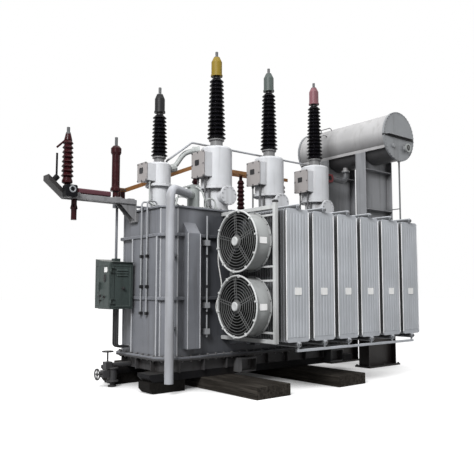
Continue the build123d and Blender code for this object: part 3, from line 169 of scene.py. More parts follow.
def painted_steel(name, paint, dirt_and_shade, streaks=0.35, dust=0.3, gloss=0.42, edge=0.006, wear_and_highlight=0.3, grime_and_shade=0.55,
                  shine=0.25):
    """Paint on plate: clouded, streaked by rain, dusty on top, paler at edges by wearing and painted
    highlight, darker in corners by soiling and painted shade.
    """
    finish, tree, shader, place = blank_finish(name)
    rain = clouding(tree, place, 9, 6, (1, 1, 0.07))
    patches = clouding(tree, place, 1.7, 5)
    specks = clouding(tree, place, 70, 3)
    faded = tuple(min(1.0, channel * 1.18 + 0.002) for channel in paint)
    rubbed_and_highlit = tuple(min(1.0, channel * 1.7 + 0.02) for channel in paint)
    coat = blend_tints(tree, spread(tree, patches, 0.35, 0.68, 0, 1), paint, faded)
    coat = blend_tints(tree, spread(tree, rain, 0.52, 0.74, 0, streaks), coat, dirt_and_shade)
    coat = blend_tints(tree, spread(tree, specks, 0.66, 0.78, 0, 0.35), coat, dirt_and_shade)
    surface = tree.nodes.new("ShaderNodeNewGeometry").outputs["Normal"]
    level = spread(tree, axis_parts(tree, surface)["Z"], 0.55, 0.95, 0, dust)
    settled = reckon(tree, "MULTIPLY", level, spread(tree, patches, 0.3, 0.6, 0.4, 1))
    dust_tint = (0.34, 0.33, 0.31)
    coat = blend_tints(tree, settled, coat, dust_tint)
    # Edges take a paler coat: part wear, part painted highlight.
    rounded = soft_edges(tree, edge)
    turned = reckon(tree, "DOT_PRODUCT", surface, rounded, vectors=True)
    coat = blend_tints(tree, spread(tree, turned, 0.8, 0.99, wear_and_highlight, 0), coat, rubbed_and_highlit)
    # Hidden corners and gaps take the dark tint: part dirt, part painted shade.
    corners = spread(tree, openness(tree, 0.16, 4), 0.3, 0.8, grime_and_shade, 0)
    tree.links.new(blend_tints(tree, corners, coat, dirt_and_shade), shader.inputs["Base Color"])
    tree.links.new(spread(tree, patches, 0.3, 0.7, gloss - 0.08, gloss + 0.14), shader.inputs["Roughness"])
    shader.inputs["Specular IOR Level"].default_value = shine
    relief = raise_surface(tree, clouding(tree, place, 5, 2), 0.006, rounded)
    relief = raise_surface(tree, clouding(tree, place, 240, 2), 0.0006, relief)
    tree.links.new(relief, shader.inputs["Normal"])
    return finish


skid_black = painted_steel("skid_black", (0.009, 0.009, 0.01), (0.024, 0.02, 0.017), streaks=0.5,
                           dust=0.06, gloss=0.6, shine=0.08)
tray_grey = painted_steel("tray_grey", (0.045, 0.044, 0.046), (0.02, 0.017, 0.015), streaks=0.6,
                          dust=0.12, gloss=0.5, edge=0.012)
paint_nodes(skid_black, "skids")
paint_nodes(tray_grey, "lower_tank")


# Tank: a bell of plate with stiffening bands, box ribs and raised panels under a bolted cover.
# Satin mid grey paint, streaked by rain, with painted shade on the front wall behind the cooling bank.
# Bolts go right round the joint of bell and tray, and round the cover.
def normal_parts(finish):
    """The parts of the way a face looks, by axis."""
    return axis_parts(finish.node_tree, finish.node_tree.nodes["Geometry"].outputs["Normal"])


def place_parts(finish):
    """The parts of a point's place, by axis."""
    return axis_parts(finish.node_tree, finish.node_tree.nodes["Texture Coordinate"].outputs["Object"])


def overlay(finish, amount, tint):
    """Lays another tint over a finish by an amount."""
    tree = finish.node_tree
    base = tree.nodes["Principled BSDF"].inputs["Base Color"]
    tree.links.new(blend_tints(tree, amount, base.links[0].from_socket, tint), base)
    return finish


def painted_front_shade(finish, start, tint):
    """Lays painted shade on the faces that look to the front past a place along the tank."""
    tree = finish.node_tree
    forward = spread(tree, normal_parts(finish)["Y"], -0.95, -0.8, 0.8, 0)
    past = spread(tree, place_parts(finish)["X"], start, start + 0.25, 0, 1)
    return overlay(finish, reckon(tree, "MULTIPLY", forward, past), tint)


def join_copies(name, master, places, finish, body="frame"):
    """Copies of a modelled master at each place, joined into one piece that rides on a body."""
    bpy.ops.object.mode_set(mode="OBJECT")
    copies = []
    for place in places:
        mesh = master.data.copy()
        mesh.transform(place)
        copy = bpy.data.objects.new(name, mesh)
        bpy.context.scene.collection.objects.link(copy)
        copies.append(copy)
    bpy.data.objects.remove(master)
    bpy.ops.object.select_all(action="DESELECT")
    for copy in copies:
        copy.select_set(True)
    piece = copies[0]
    bpy.context.view_layer.objects.active = piece
    if len(copies) > 1:
        bpy.ops.object.join()
    piece.name = name
    piece.data.materials.clear()
    piece.data.materials.append(finish)
    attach(piece, body)
    return piece


def facing(spot, direction):
    """The place of a master modelled along +Z, stood at a spot and turned to a direction, +Y kept up."""
    out = Vector(direction).normalized()
    up = Vector((0, 1, 0)) if abs(out.z) > 0.99 else Vector((0, 0, 1))
    across = up.cross(out).normalized()
    turn = Matrix((across, out.cross(across), out)).transposed()
    return Matrix.Translation(spot) @ turn.to_4x4()


def pick(piece, kind, chosen):
    """Goes into edit mode with the faces or edges selected that a test on them holds for."""
    bpy.ops.object.mode_set(mode="EDIT")
    bpy.ops.mesh.select_mode(type=kind)
    bpy.ops.mesh.select_all(action="DESELECT")
    bpy.ops.object.mode_set(mode="OBJECT")
    mesh = piece.data
    if kind == "FACE":
        for face in mesh.polygons:
            face.select = chosen(face)
    else:
        for edge in mesh.edges:
            edge.select = chosen(*(mesh.vertices[corner].co for corner in edge.vertices))
    bpy.ops.object.mode_set(mode="EDIT")


def start_drum(radius, depth, sides, lift=0.0):
    """A fresh drum that stands on a level, ready to be shaped."""
    bpy.ops.object.select_all(action="DESELECT")
    bpy.ops.mesh.primitive_cylinder_add(vertices=sides, radius=radius, depth=depth,
                                        location=(0, 0, lift + depth / 2))
    bpy.ops.object.transform_apply(location=True, rotation=True, scale=True)
    return bpy.context.object


def crown_top(piece, border, lift):
    """Lifts or sinks the middle of a piece's top inside a sloping border."""
    pick(piece, "FACE", lambda face: face.normal.z > 0.9)
    bpy.ops.mesh.inset(thickness=border)
    bpy.ops.transform.translate(value=(0, 0, lift))


def hex_bolts(name, places, size, finish, body="frame"):
    """Hexagon heads on washers, with a chamfered crown, at places that face outwards."""
    washer = 0.22 * size
    bolt = start_drum(size, 0.85 * size, 6, washer)
    crown_top(bolt, 0.2 * size, 0.16 * size)
    bpy.ops.mesh.primitive_cylinder_add(vertices=10, radius=1.45 * size, depth=washer,
                                        location=(0, 0, washer / 2))
    return join_copies(name, bolt, places, finish, body)


cover_lip = 0.03
tank_corner = 0.2
cover_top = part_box("tank_cover")[1].z
half_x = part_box("tank_cover")[1].x - cover_lip
half_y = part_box("tank_cover")[1].y - cover_lip


def outline_spots(reach, pitch):
    """Evenly spread points round the tank's eight-sided plan, a reach outside the wall."""
    x, y = half_x + reach, half_y + reach
    cut = tank_corner + reach * (2 - math.sqrt(2))
    turns = [(x - cut, -y), (x, cut - y), (x, y - cut), (x - cut, y),
             (cut - x, y), (-x, y - cut), (-x, cut - y), (cut - x, -y)]
    spots = []
    for start, stop in zip(turns, turns[1:] + turns[:1]):
        count = max(1, round(math.dist(start, stop) / pitch))
        for step in range(count):
            share = (step + 0.5) / count
            spots.append((start[0] + (stop[0] - start[0]) * share, start[1] + (stop[1] - start[1]) * share))
    return spots


tank_paint = dict(paint=(0.168, 0.175, 0.194), dirt_and_shade=(0.05, 0.047, 0.046), streaks=0.45, dust=0.25,
                  edge=0.016, wear_and_highlight=0.9)
tank_grey = painted_steel("tank_grey", **tank_paint)
# The front wall behind the cooling bank carries painted shade.
wall_grey = painted_front_shade(painted_steel("wall_grey", **tank_paint), -1.6, (0.035, 0.037, 0.043))
bolt_grey = painted_steel("bolt_grey", (0.11, 0.111, 0.115), (0.035, 0.028, 0.024), streaks=0.5, dust=0.2)
paint_nodes(tank_grey, "tank_cover")
paint_nodes(wall_grey, "tank_wall")

joint_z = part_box("lower_tank")[1].z
flange = 0.03
joint_spots = outline_spots(0.065, 0.17)
joint_bolts = [facing((x, y, joint_z + flange * way), (0, 0, way))
               for way in (1, -1) for x, y in joint_spots]
hex_bolts("joint_bolts", joint_bolts, 0.02, bolt_grey)
cover_bolts = [facing((x, y, cover_top), (0, 0, 1)) for x, y in outline_spots(-0.03, 0.2)]
hex_bolts("cover_bolts", cover_bolts, 0.016, bolt_grey)


# Jacking brackets: welded pockets under the tray's flange, two to each long side.
# Steel plate in mid grey paint, with a cap plate, two cheeks and a foot set back under the front.
def start_slab(width, height, depth):
    """A fresh slab that lies on the ground plane with its middle at the origin, ready to be shaped."""
    bpy.ops.object.select_all(action="DESELECT")
    bpy.ops.mesh.primitive_cube_add(size=1, location=(0, 0, depth / 2), scale=(width, height, depth))
    bpy.ops.object.transform_apply(location=True, rotation=True, scale=True)
    return bpy.context.object


def low_edge(one, two):
    """Holds for an edge at a piece's foot."""
    return one.z < 0.01 and two.z < 0.01


bracket_plate = 0.024
pocket_depth = 0.13
foot_setback = 0.04
bracket = start_slab(0.36, 0.2, 0.24)
pick(bracket, "FACE", lambda face: face.normal.y < -0.9)
bpy.ops.mesh.inset(thickness=bracket_plate)
bpy.ops.mesh.extrude_region_move(TRANSFORM_OT_translate={"value": (0, pocket_depth, 0)})
pick(bracket, "EDGE", lambda one, two: one.y < -0.09 and two.y < -0.09 and low_edge(one, two))
bpy.ops.transform.translate(value=(0, foot_setback, 0))
bracket_y, bracket_z = 0.9, 0.212
jack_places = [Matrix.Rotation(turn, 4, "Z") @ Matrix.Translation((x, -bracket_y, bracket_z))
               for turn, xs in ((0, (-0.56, 1.7)), (math.pi, (0.56, -1.7))) for x in xs]
join_copies("jacking_brackets", bracket, jack_places, bolt_grey)


# Packing blocks: tarred timber under the left ends of the skids, cut back at the toe.
# They only rest there and carry what the sleepers leave.
def bevel_edges(piece, chosen, offset, segments):
    """Bevels the edges that a test on their two ends holds for."""
    pick(piece, "EDGE", chosen)
    bpy.ops.mesh.bevel(offset=offset, segments=segments, affect="EDGES")


packing = start_slab(0.66, 0.34, 0.178)
bevel_edges(packing, lambda one, two: one.x < 0 and two.x < 0 and low_edge(one, two), 0.07, 1)
bevel_edges(packing, lambda one, two: abs(one.z - two.z) > 0.1, 0.012, 2)
tarred = old_timber("tarred_timber", (0.016, 0.0145, 0.013), (0.006, 0.0055, 0.005))
skid_y = 0.62
packing_places = [Matrix.Translation((-2.06, skid_y * side, 0)) for side in (-1, 1)]
join_copies("packing_blocks", packing, packing_places, tarred)


# Corner beads: half-round strips welded down the tank's upright edges, the end panels and the box ribs.
# Their pale paint is a painted highlight, so they show as light lines on the darker wall.
def level_edge(one, two):
    """Holds for an edge that lies level."""
    return abs(one.z - two.z) < 0.001


def upright_beads(name, spots, low, high, radius, finish):
    """Slim round strips with bevelled ends, stood upright on spots in plan."""
    strip = start_drum(radius, high - low, 8, low)
    bevel_edges(strip, level_edge, 0.3 * radius, 1)
    return join_copies(name, strip, [Matrix.Translation((x, y, 0)) for x, y in spots], finish)


bead_highlight = painted_steel("bead_highlight", (0.42, 0.43, 0.45), (0.12, 0.115, 0.11), streaks=0.5, dust=0,
                          gloss=0.4, edge=0.004, grime_and_shade=0.2)
bell_foot, bell_top = 0.545, 2.928
corner_plan = ((half_x - tank_corner, half_y), (half_x, half_y - tank_corner))
corner_spots = [(x * side, y * end) for side in (-1, 1) for end in (-1, 1) for x, y in corner_plan]
upright_beads("corner_beads", corner_spots, bell_foot, bell_top, 0.013, bead_highlight)
panel_face_x, panel_edges_y, panel_top = 2.164, (-0.588, 0.188), 2.455
panel_spots = [(panel_face_x * side, y) for side in (-1, 1) for y in panel_edges_y]
upright_beads("panel_beads", panel_spots, bell_foot, panel_top, 0.012, bead_highlight)
rib_x, rib_half_width, rib_face_y = -1.68, 0.12, 0.95
rib_foot, rib_top = 0.665, 2.505
rib_spots = [(rib_x + rib_half_width * side, rib_face_y * end) for side in (-1, 1) for end in (-1, 1)]
upright_beads("rib_beads", rib_spots, rib_foot, rib_top, 0.009, bead_highlight)


# Turrets: rolled and flanged barrels that carry the high-voltage bushings, with a hand hole cover.
# Satin light grey paint, with pinkish lids and dull grey necks, bolted flange to flange all round.
def recolour(finish, axis, low, high, tint):
    """Lays another tint over a finish between two levels along an axis."""
    middle, half = (low + high) / 2, (high - low) / 2
    within = reckon(finish.node_tree, "COMPARE", place_parts(finish)[axis], middle, half)
    return overlay(finish, within, tint)


def ring_places(centre, axis, radius, count):
    """Places on a bolt circle, all facing along its axis."""
    places = []
    for step in range(count):
        angle = 2 * math.pi * (step + 0.5) / count
        spoke = Vector((radius * math.cos(angle), radius * math.sin(angle), 0))
        places.append(facing(centre, axis) @ Matrix.Translation(spoke))
    return places


turret_paint = dict(paint=(0.5, 0.51, 0.53), dirt_and_shade=(0.2, 0.19, 0.18), streaks=0.4, dust=0.1, gloss=0.36,
                    edge=0.012, wear_and_highlight=0.4)
turret_grey = painted_steel("turret_grey", **turret_paint)
lid_paint, lid_depth = (0.34, 0.32, 0.315), 0.03
neck_paint = (0.17, 0.17, 0.172)
margin = 0.01
for name, neck in (("turret_a", 0.13), ("turret_b", 0.13), ("turret_c", 0.13), ("neutral_turret", 0.11)):
    low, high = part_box(name)
    barrel = painted_steel(f"{name}_grey", **turret_paint)
    recolour(barrel, "X", low.x - margin, low.x + lid_depth, lid_paint)
    paint_nodes(recolour(barrel, "Z", high.z - neck, high.z + margin, neck_paint), name)

riser_height = 0.4
turret_flange = 0.04
neck_height = 0.156
hand_hole_reach, hand_hole_height = 0.36, 0.27
turret_joint_z = cover_top + riser_height
turret_bolts = []
for phase in "abc":
    low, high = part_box(f"bushing_{phase}")
    foot = Vector(((low.x + high.x) / 2, (low.y + high.y) / 2, 0))
    hand_hole = foot + Vector((0, -hand_hole_reach, cover_top + hand_hole_height))
    turret_bolts += ring_places(hand_hole, (0, -1, 0), 0.147, 12)
    for level, way, radius, count in (
        (cover_top + turret_flange, 1, 0.222, 14),
        (turret_joint_z + turret_flange, 1, 0.294, 18),
        (turret_joint_z, -1, 0.27, 18),
        (low.z - neck_height, 1, 0.135, 8),
    ):
        turret_bolts += ring_places(foot + Vector((0, 0, level)), (0, 0, way), radius, count)
neutral_low, neutral_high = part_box("neutral_bushing")
neutral_middle = (neutral_low + neutral_high) / 2
for level, radius, count in ((3.0, 0.186, 12), (3.41, 0.219, 14), (3.79, 0.15, 8)):
    turret_bolts += ring_places((neutral_middle.x, neutral_middle.y, level), (0, 0, 1), radius, count)
hex_bolts("turret_bolts", turret_bolts, 0.012, turret_grey)


# Terminal box fittings: screwed lids with a bare dark plate, and steel conduits down to the cover.
# The conduits leave the box floors through glands and end in couplings on the cover.
# A wider painted link joins the neutral turret to the first turret.
def blank_plates(name, places, width, height, finish, body="frame", depth=0.005):
    """Bare plates with rounded corners, dished a little and riveted at the corners."""
    plate = start_slab(width, height, depth)
    bevel_edges(plate, lambda one, two: abs(one.z - two.z) > depth / 2, 0.12 * height, 3)
    crown_top(plate, 0.03 * width, -0.3 * depth)
    for side in (-1, 1):
        for end in (-1, 1):
            bpy.ops.mesh.primitive_cylinder_add(vertices=8, radius=0.035 * width, depth=depth,
                                                location=(side * 0.4 * width, end * 0.36 * height, depth))
    return join_copies(name, plate, places, finish, body)


def draw_line(name, runs, radius, roundness, steps):
    """Round lines along runs of points, as smooth curves from first point to last."""
    line = bpy.data.curves.new(name, "CURVE")
    line.dimensions = "3D"
    line.bevel_depth = radius
    line.bevel_resolution = roundness
    line.use_fill_caps = True
    for points in runs:
        spline = line.splines.new("NURBS")
        spline.points.add(len(points) - 1)
        for knot, spot in zip(spline.points, points):
            knot.co = (*spot, 1)
        spline.order_u = 3
        spline.use_endpoint_u = True
        spline.resolution_u = steps
    piece = bpy.data.objects.new(name, line)
    bpy.context.scene.collection.objects.link(piece)
    return piece


def steel_conduits(name, runs, radius, finish, body="frame"):
    """Round conduits along runs of points, with a coupling sleeve at both ends of each."""
    bpy.ops.object.select_all(action="DESELECT")
    piece = draw_line(name, runs, radius, 2, 4)
    piece.select_set(True)
    bpy.context.view_layer.objects.active = piece
    bpy.ops.object.convert(target="MESH")
    piece = bpy.context.object
    bpy.ops.object.mode_set(mode="EDIT")
    for points in runs:
        for end, inner in ((points[0], points[1]), (points[-1], points[-2])):
            along = (Vector(inner) - Vector(end)).normalized()
            bpy.ops.mesh.primitive_cylinder_add(vertices=10, radius=1.6 * radius, depth=3 * radius,
                                                location=Vector(end) + 1.5 * radius * along,
                                                rotation=along.to_track_quat("Z", "Y").to_euler())
    bpy.ops.object.mode_set(mode="OBJECT")
    piece.data.materials.append(finish)
    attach(piece, body)
    return piece


plate_dark = painted_steel("plate_dark", (0.02, 0.02, 0.022), (0.05, 0.045, 0.04), streaks=0.3, dust=0.1,
                           gloss=0.4)
left = (-1, 0, 0)
lid_reach, lid_z = 0.414, 3.775
floor_z, land_z = 3.56, 2.96
lid_bolts = []
lid_plates = []
box_conduits = []
for phase in "abc":
    x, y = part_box(f"bushing_{phase}")[0].x + 0.168, -0.45
    lid_x, outer_x, inner_x = x - lid_reach, x - 0.33, x - 0.24
    for across, rise in ((a, r) for a in (-1, 0, 1) for r in (-1, 0, 1) if a or r):
        lid_bolts.append(facing((lid_x, y + 0.166 * across, lid_z + 0.21 * rise), left))
    lid_plates.append(facing((lid_x, y + 0.02, lid_z + 0.035), left))
    near, far = y - 0.1, y + 0.1
    box_conduits += [
        [(outer_x, near, floor_z), (outer_x, near, 3.25), (outer_x, near, land_z)],
        [(inner_x, near, floor_z), (inner_x, near, 3.2), (inner_x, y - 0.12, 3.08),
         (x - 0.3, y - 0.2, 3.03), (x - 0.34, y - 0.26, land_z)],
        [(outer_x, far, floor_z), (outer_x, far, 3.2), (outer_x, far, land_z)],
    ]
neutral_lid_x, neutral_lid_z = -2.114, 3.6
for across, rise in ((a, r) for a in (-1, 1, 0) for r in (-1, 1)):
    lid_bolts.append(facing((neutral_lid_x, 0.136 * across, neutral_lid_z + 0.146 * rise), left))
lid_plates.append(facing((neutral_lid_x, 0.02, neutral_lid_z + 0.03), left))
hex_bolts("lid_bolts", lid_bolts, 0.011, bolt_grey)
blank_plates("lid_plates", lid_plates, 0.12, 0.1, plate_dark)
steel_conduits("box_conduits", box_conduits, 0.015, bolt_grey)
cover_conduits = [
    [(-2.02, -0.1, 3.45), (-2.02, -0.1, 3.2), (-2.02, -0.14, 3.05), (-1.98, -0.3, 2.99),
     (-1.94, -0.42, land_z)],
    [(-1.535, -0.6, 3.33), (-1.68, -0.62, 3.33), (-1.78, -0.64, 3.2), (-1.84, -0.66, 3.05),
     (-1.86, -0.67, land_z)],
    [(-1.46, -0.675, 3.32), (-1.44, -0.78, 3.3), (-1.36, -0.79, 3.12), (-1.28, -0.76, 3.0),
     (-1.24, -0.74, land_z)],
    [(-1.3, -0.72, land_z), (-1.3, -0.72, 3.1), (-1.2, -0.74, 3.16), (-1.1, -0.76, 3.1),
     (-1.1, -0.76, land_z)],
    [(-1.62, -0.25, land_z), (-1.62, -0.25, 3.16), (-1.5, -0.28, 3.22), (-1.3, -0.3, 3.18),
     (-1.2, -0.3, land_z)],
]
hose_grey = painted_steel("hose_grey", (0.36, 0.378, 0.372), (0.08, 0.078, 0.075), streaks=0.4, dust=0.1,
                          gloss=0.45, edge=0.004)
steel_conduits("cover_conduits", cover_conduits, 0.014, hose_grey)
gas_link = [(-1.58, -0.02, 3.72), (-1.47, -0.04, 3.76), (-1.36, -0.1, 3.98), (-1.27, -0.18, 4.06),
            (-1.11, -0.3, 4.08)]
steel_conduits("gas_link", [gas_link], 0.045, hose_grey)


# Bushings: tall columns of glazed porcelain sheds, one on each turret and a shorter one on the neutral.
# The glaze is almost black and runs a little thinner in places; dust dulls it.
def glazed_porcelain(name, glaze, thin):
    """A dark glaze with thinner patches, a thin clear coat and dull streaks of dust."""
    finish, tree, shader, place = blank_finish(name)
    cast = clouding(tree, place, 14, 4)
    dust = clouding(tree, place, 60, 3, (1, 1, 0.3))
    tint = blend_tints(tree, spread(tree, cast, 0.35, 0.7, 0, 1), glaze, thin)
    dust_tint = (0.08, 0.075, 0.07)
    tint = blend_tints(tree, spread(tree, dust, 0.6, 0.85, 0, 0.12), tint, dust_tint)
    tree.links.new(tint, shader.inputs["Base Color"])
    tree.links.new(spread(tree, dust, 0.4, 0.75, 0.22, 0.45), shader.inputs["Roughness"])
    shader.inputs["Specular IOR Level"].default_value = 0.1
    shader.inputs["Coat Weight"].default_value = 0.05
    shader.inputs["Coat Roughness"].default_value = 0.15
    relief = raise_surface(tree, clouding(tree, place, 30, 2), 0.0015, soft_edges(tree, 0.008))
    tree.links.new(relief, shader.inputs["Normal"])
    return finish


black_glaze = glazed_porcelain("black_glaze", (0.004, 0.004, 0.006), (0.007, 0.006, 0.007))
paint_nodes(black_glaze, "bushing_a", "bushing_b", "bushing_c", "neutral_bushing")


# Bushing heads: cast caps in the phase colours, clamped to the porcelain by a dark foot ring.
# Their studs are left as dull bare metal.
stud_metal = (0.1, 0.102, 0.105)
foot_black, foot_height = (0.008, 0.008, 0.009), 0.05
for cap, name, paint, stud in (
    ("cap_a", "yellow_head", (0.19, 0.13, 0.012), 0.096),
    ("cap_b", "green_head", (0.075, 0.092, 0.086), 0.096),
    ("cap_c", "red_head", (0.21, 0.088, 0.105), 0.096),
    ("neutral_cap", "black_head", (0.004, 0.004, 0.005), 0.12),
):
    head = painted_steel(name, paint, (0.03, 0.026, 0.022), streaks=0.6, dust=0.05, gloss=0.45, edge=0.01,
                         wear_and_highlight=0.25)
    foot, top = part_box(cap)[0].z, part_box(cap)[1].z
    recolour(head, "Z", foot - margin, foot + foot_height, foot_black)
    paint_nodes(recolour(head, "Z", top - stud - margin, top + margin, stud_metal), cap)


# Cooling banks: pressed steel panels on pipe manifolds, six blocks along each side of the tank.
# Grey paint, a little paler than the tank; the outer panels are fluted by their pressed channels.
# Each block has a bare plate in front, plugs in its headers and bolted valve flanges.
def painted_side_shade(finish, tint):
    """Lays painted shade on the faces that look along the bank, between the panels."""
    sideways = reckon(finish.node_tree, "ABSOLUTE", normal_parts(finish)["X"])
    return overlay(finish, spread(finish.node_tree, sideways, 0.6, 0.9, 0, 0.85), tint)


def stretch_all(factors):
    """Scales the whole of a fresh piece about the origin, in edit mode."""
    bpy.ops.object.mode_set(mode="EDIT")
    bpy.ops.mesh.select_all(action="SELECT")
    bpy.ops.transform.resize(value=factors, center_override=(0, 0, 0))


panel_paint = (0.43, 0.45, 0.48)
# Strong corner darkening and dark sides on the radiators are painted shade between the panels.
radiator_grey = painted_steel("radiator_grey", panel_paint, (0.1, 0.097, 0.094), streaks=0.15, dust=0.1,
                              gloss=0.45, edge=0.01, wear_and_highlight=0.6, grime_and_shade=0.85)
painted_side_shade(radiator_grey, (0.03, 0.031, 0.033))
radiator_names = [f"radiator_{number}" for number in range(1, 7)]
paint_nodes(radiator_grey, *radiator_names, "rear_radiators", "tie_bars")
paint_nodes(tank_grey, "front_collectors", "rear_collectors")

bank_xs = [(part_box(name)[0].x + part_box(name)[1].x) / 2 for name in radiator_names]
plug_reach = 0.04
panel_y = -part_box("radiator_1")[0].y - plug_reach
flutes_per_panel = 7
flute_pitch = 0.068
flute_flatness = 0.17
flute = start_drum(0.029, 1.93, 12, 0.863)
stretch_all((1, flute_flatness, 1))
bevel_edges(flute, level_edge, 0.004, 2)
flute_grey = painted_steel("flute_grey", panel_paint, (0.2, 0.195, 0.19), streaks=0.25, dust=0.1,
                           gloss=0.45, edge=0.004, wear_and_highlight=0.2, grime_and_shade=0.15)
flutes = []
for x in bank_xs:
    for step in range(flutes_per_panel):
        offset = flute_pitch * (step - flutes_per_panel // 2)
        flutes += [Matrix.Translation((x + offset, side * panel_y, 0)) for side in (-1, 1)]
join_copies("panel_flutes", flute, flutes, flute_grey)

panel_half = 0.246
seam_spots = [(x + panel_half * edge, side * panel_y)
              for x in bank_xs for edge in (-1, 1) for side in (-1, 1)]
# The pale seams at the panels' edges are painted highlight.
seam_highlight = painted_steel("seam_highlight", (0.78, 0.79, 0.8), (0.3, 0.29, 0.28), streaks=0.2, dust=0,
                          gloss=0.4, edge=0.003, wear_and_highlight=0.2, grime_and_shade=0.2)
upright_beads("panel_seams", seam_spots, 0.83, 2.827, 0.009, seam_highlight)
plate_white = painted_steel("plate_white", (0.86, 0.86, 0.85), (0.5, 0.48, 0.45), streaks=0.2, dust=0,
                            gloss=0.3, edge=0.003, wear_and_highlight=0, grime_and_shade=0.2)
plate_z = 1.575
plate_places = [facing((x, -panel_y - 0.004, plate_z), (0, -1, 0)) for x in bank_xs]
blank_plates("radiator_plates", plate_places, 0.15, 0.115, plate_white)

header_levels = (0.755, 2.902)
plug_size, plug_sunk = 0.02, 0.012
valve_plane = 0.995
header_plugs = []
valve_bolts = []
for x in bank_xs:
    for side in (-1, 1):
        for level in header_levels:
            plug_y = side * (panel_y + plug_reach - plug_sunk)
            header_plugs.append(facing((x, plug_y, level), (0, side, 0)))
            valve_bolts += ring_places((x, side * valve_plane, level), (0, -side, 0), 0.058, 6)
hex_bolts("header_plugs", header_plugs, plug_size, bolt_grey)
hex_bolts("valve_bolts", valve_bolts, 0.009, bolt_grey)


# Fans: two axial fans in a welded frame, each in a rolled shroud behind a wire guard.
# Light grey sheet with a rolled mouth; blades and motor show dark behind the wires.
# Lugs clamp the guard to the mouth, and a domed cover closes the motor's nose.
def dark_inside(finish, axis_y, axis_z):
    """Paints the faces that look at a fan's axis near black, as painted shade inside the shroud."""
    tree = finish.node_tree
    place = tree.nodes["Texture Coordinate"].outputs["Object"]
    spoke = reckon(tree, "SUBTRACT", place, (0, axis_y, axis_z), vectors=True)
    spoke = reckon(tree, "MULTIPLY", spoke, (0, 1, 1), vectors=True)
    outward = reckon(tree, "DOT_PRODUCT", spoke, tree.nodes["Geometry"].outputs["Normal"], vectors=True)
    inside_shade_black = (0.008, 0.008, 0.008)
    return overlay(finish, spread(tree, outward, -0.3, -0.15, 1, 0), inside_shade_black)


fan_y = -1.586
fan_levels = {"upper": 2.355, "lower": 1.337}
fan_dark = painted_steel("fan_dark", (0.008, 0.009, 0.008), (0.012, 0.011, 0.01), streaks=0.3, dust=0.02,
                         gloss=0.6, edge=0.003, wear_and_highlight=0.1, shine=0.04)
guard_grey = painted_steel("guard_grey", (0.12, 0.123, 0.123), (0.06, 0.055, 0.05), streaks=0.3, dust=0.1,
                           gloss=0.4, edge=0.003, grime_and_shade=0.2)
frame_pale = painted_steel("frame_pale", (0.46, 0.47, 0.47), (0.1, 0.096, 0.092), streaks=0.4, dust=0.12,
                           gloss=0.4, edge=0.008, wear_and_highlight=0.5)
paint_nodes(frame_pale, "fan_frame")
for name, level in fan_levels.items():
    shroud_grey = painted_steel(f"shroud_{name}", (0.32, 0.33, 0.33), (0.08, 0.076, 0.072), streaks=0.3,
                                dust=0.12, gloss=0.4, edge=0.012, wear_and_highlight=0.8)
    # The shroud's inside carries painted shade.
    paint_nodes(dark_inside(shroud_grey, fan_y, level), f"fan_shroud_{name}")
    paint_nodes(guard_grey, f"fan_guard_{name}")
    paint_nodes(fan_dark, f"fan_motor_{name}", f"fan_impeller_{name}")

rim_pale = painted_steel("rim_pale", (0.5, 0.51, 0.51), (0.2, 0.19, 0.18), streaks=0.3, dust=0.1,
                         gloss=0.38, edge=0.004, grime_and_shade=0.3)
lug_count, lug_radius = 10, 0.474
bpy.ops.object.select_all(action="DESELECT")
bpy.ops.mesh.primitive_torus_add(major_radius=0.48, minor_radius=0.014, major_segments=72, minor_segments=8)
bead = bpy.context.object
bpy.ops.object.mode_set(mode="EDIT")
for step in range(lug_count):
    angle = 2 * math.pi * (step + 0.3) / lug_count
    lug_spot = (lug_radius * math.cos(angle), lug_radius * math.sin(angle), 0.008)
    bpy.ops.mesh.primitive_cube_add(size=1, location=lug_spot, rotation=(0, 0, angle),
                                    scale=(0.05, 0.024, 0.026))
mouth_x, nose_x = -1.322, -1.359
mouths = [facing((mouth_x, fan_y, level), left) for level in fan_levels.values()]
join_copies("mouth_beads", bead, mouths, rim_pale)

cover = start_drum(0.072, 0.01, 28)
crown_top(cover, 0.014, 0.008)
bpy.ops.mesh.inset(thickness=0.034)
bpy.ops.transform.translate(value=(0, 0, -0.005))
noses = [facing((nose_x, fan_y, level), left) for level in fan_levels.values()]
join_copies("hub_covers", cover, noses, rim_pale)
shroud_bolts = []
for level in fan_levels.values():
    shroud_bolts += ring_places((-1.02, fan_y, level), left, 0.463, 16)
hex_bolts("shroud_bolts", shroud_bolts, 0.008, bolt_grey)
fan_plates = [facing((-1.165, fan_y - 0.448, level), (0, -1, 0)) for level in fan_levels.values()]
blank_plates("fan_plates", fan_plates, 0.15, 0.1, plate_white)
post_cap = start_slab(0.07, 0.07, 0.024)
crown_top(post_cap, 0.014, 0.014)
join_copies("post_cap", post_cap, [Matrix.Translation((-0.982, -2.11, 2.95))], plate_dark)


# Fan lead: a pale flexible sheath that hangs in loops from the upper fan's gland to the lower one's.
# It runs clear of the tank wall between its two ends.
def ribbed_sheath(name, tint, shade):
    """Flexible plastic sheath with fine ribs, dulled in patches by soiling."""
    finish, tree, shader, place = blank_finish(name)
    ribs = tree.nodes.new("ShaderNodeTexWave")
    ribs.bands_direction = "Z"
    ribs.inputs["Scale"].default_value = 60
    tree.links.new(place, ribs.inputs["Vector"])
    grime_and_shade = clouding(tree, place, 18, 4)
    tone = blend_tints(tree, spread(tree, grime_and_shade, 0.45, 0.75, 0, 0.6), tint, shade)
    tree.links.new(tone, shader.inputs["Base Color"])
    tree.links.new(spread(tree, grime_and_shade, 0.3, 0.7, 0.5, 0.7), shader.inputs["Roughness"])
    tree.links.new(raise_surface(tree, ribs.outputs["Fac"], 0.002), shader.inputs["Normal"])
    return finish


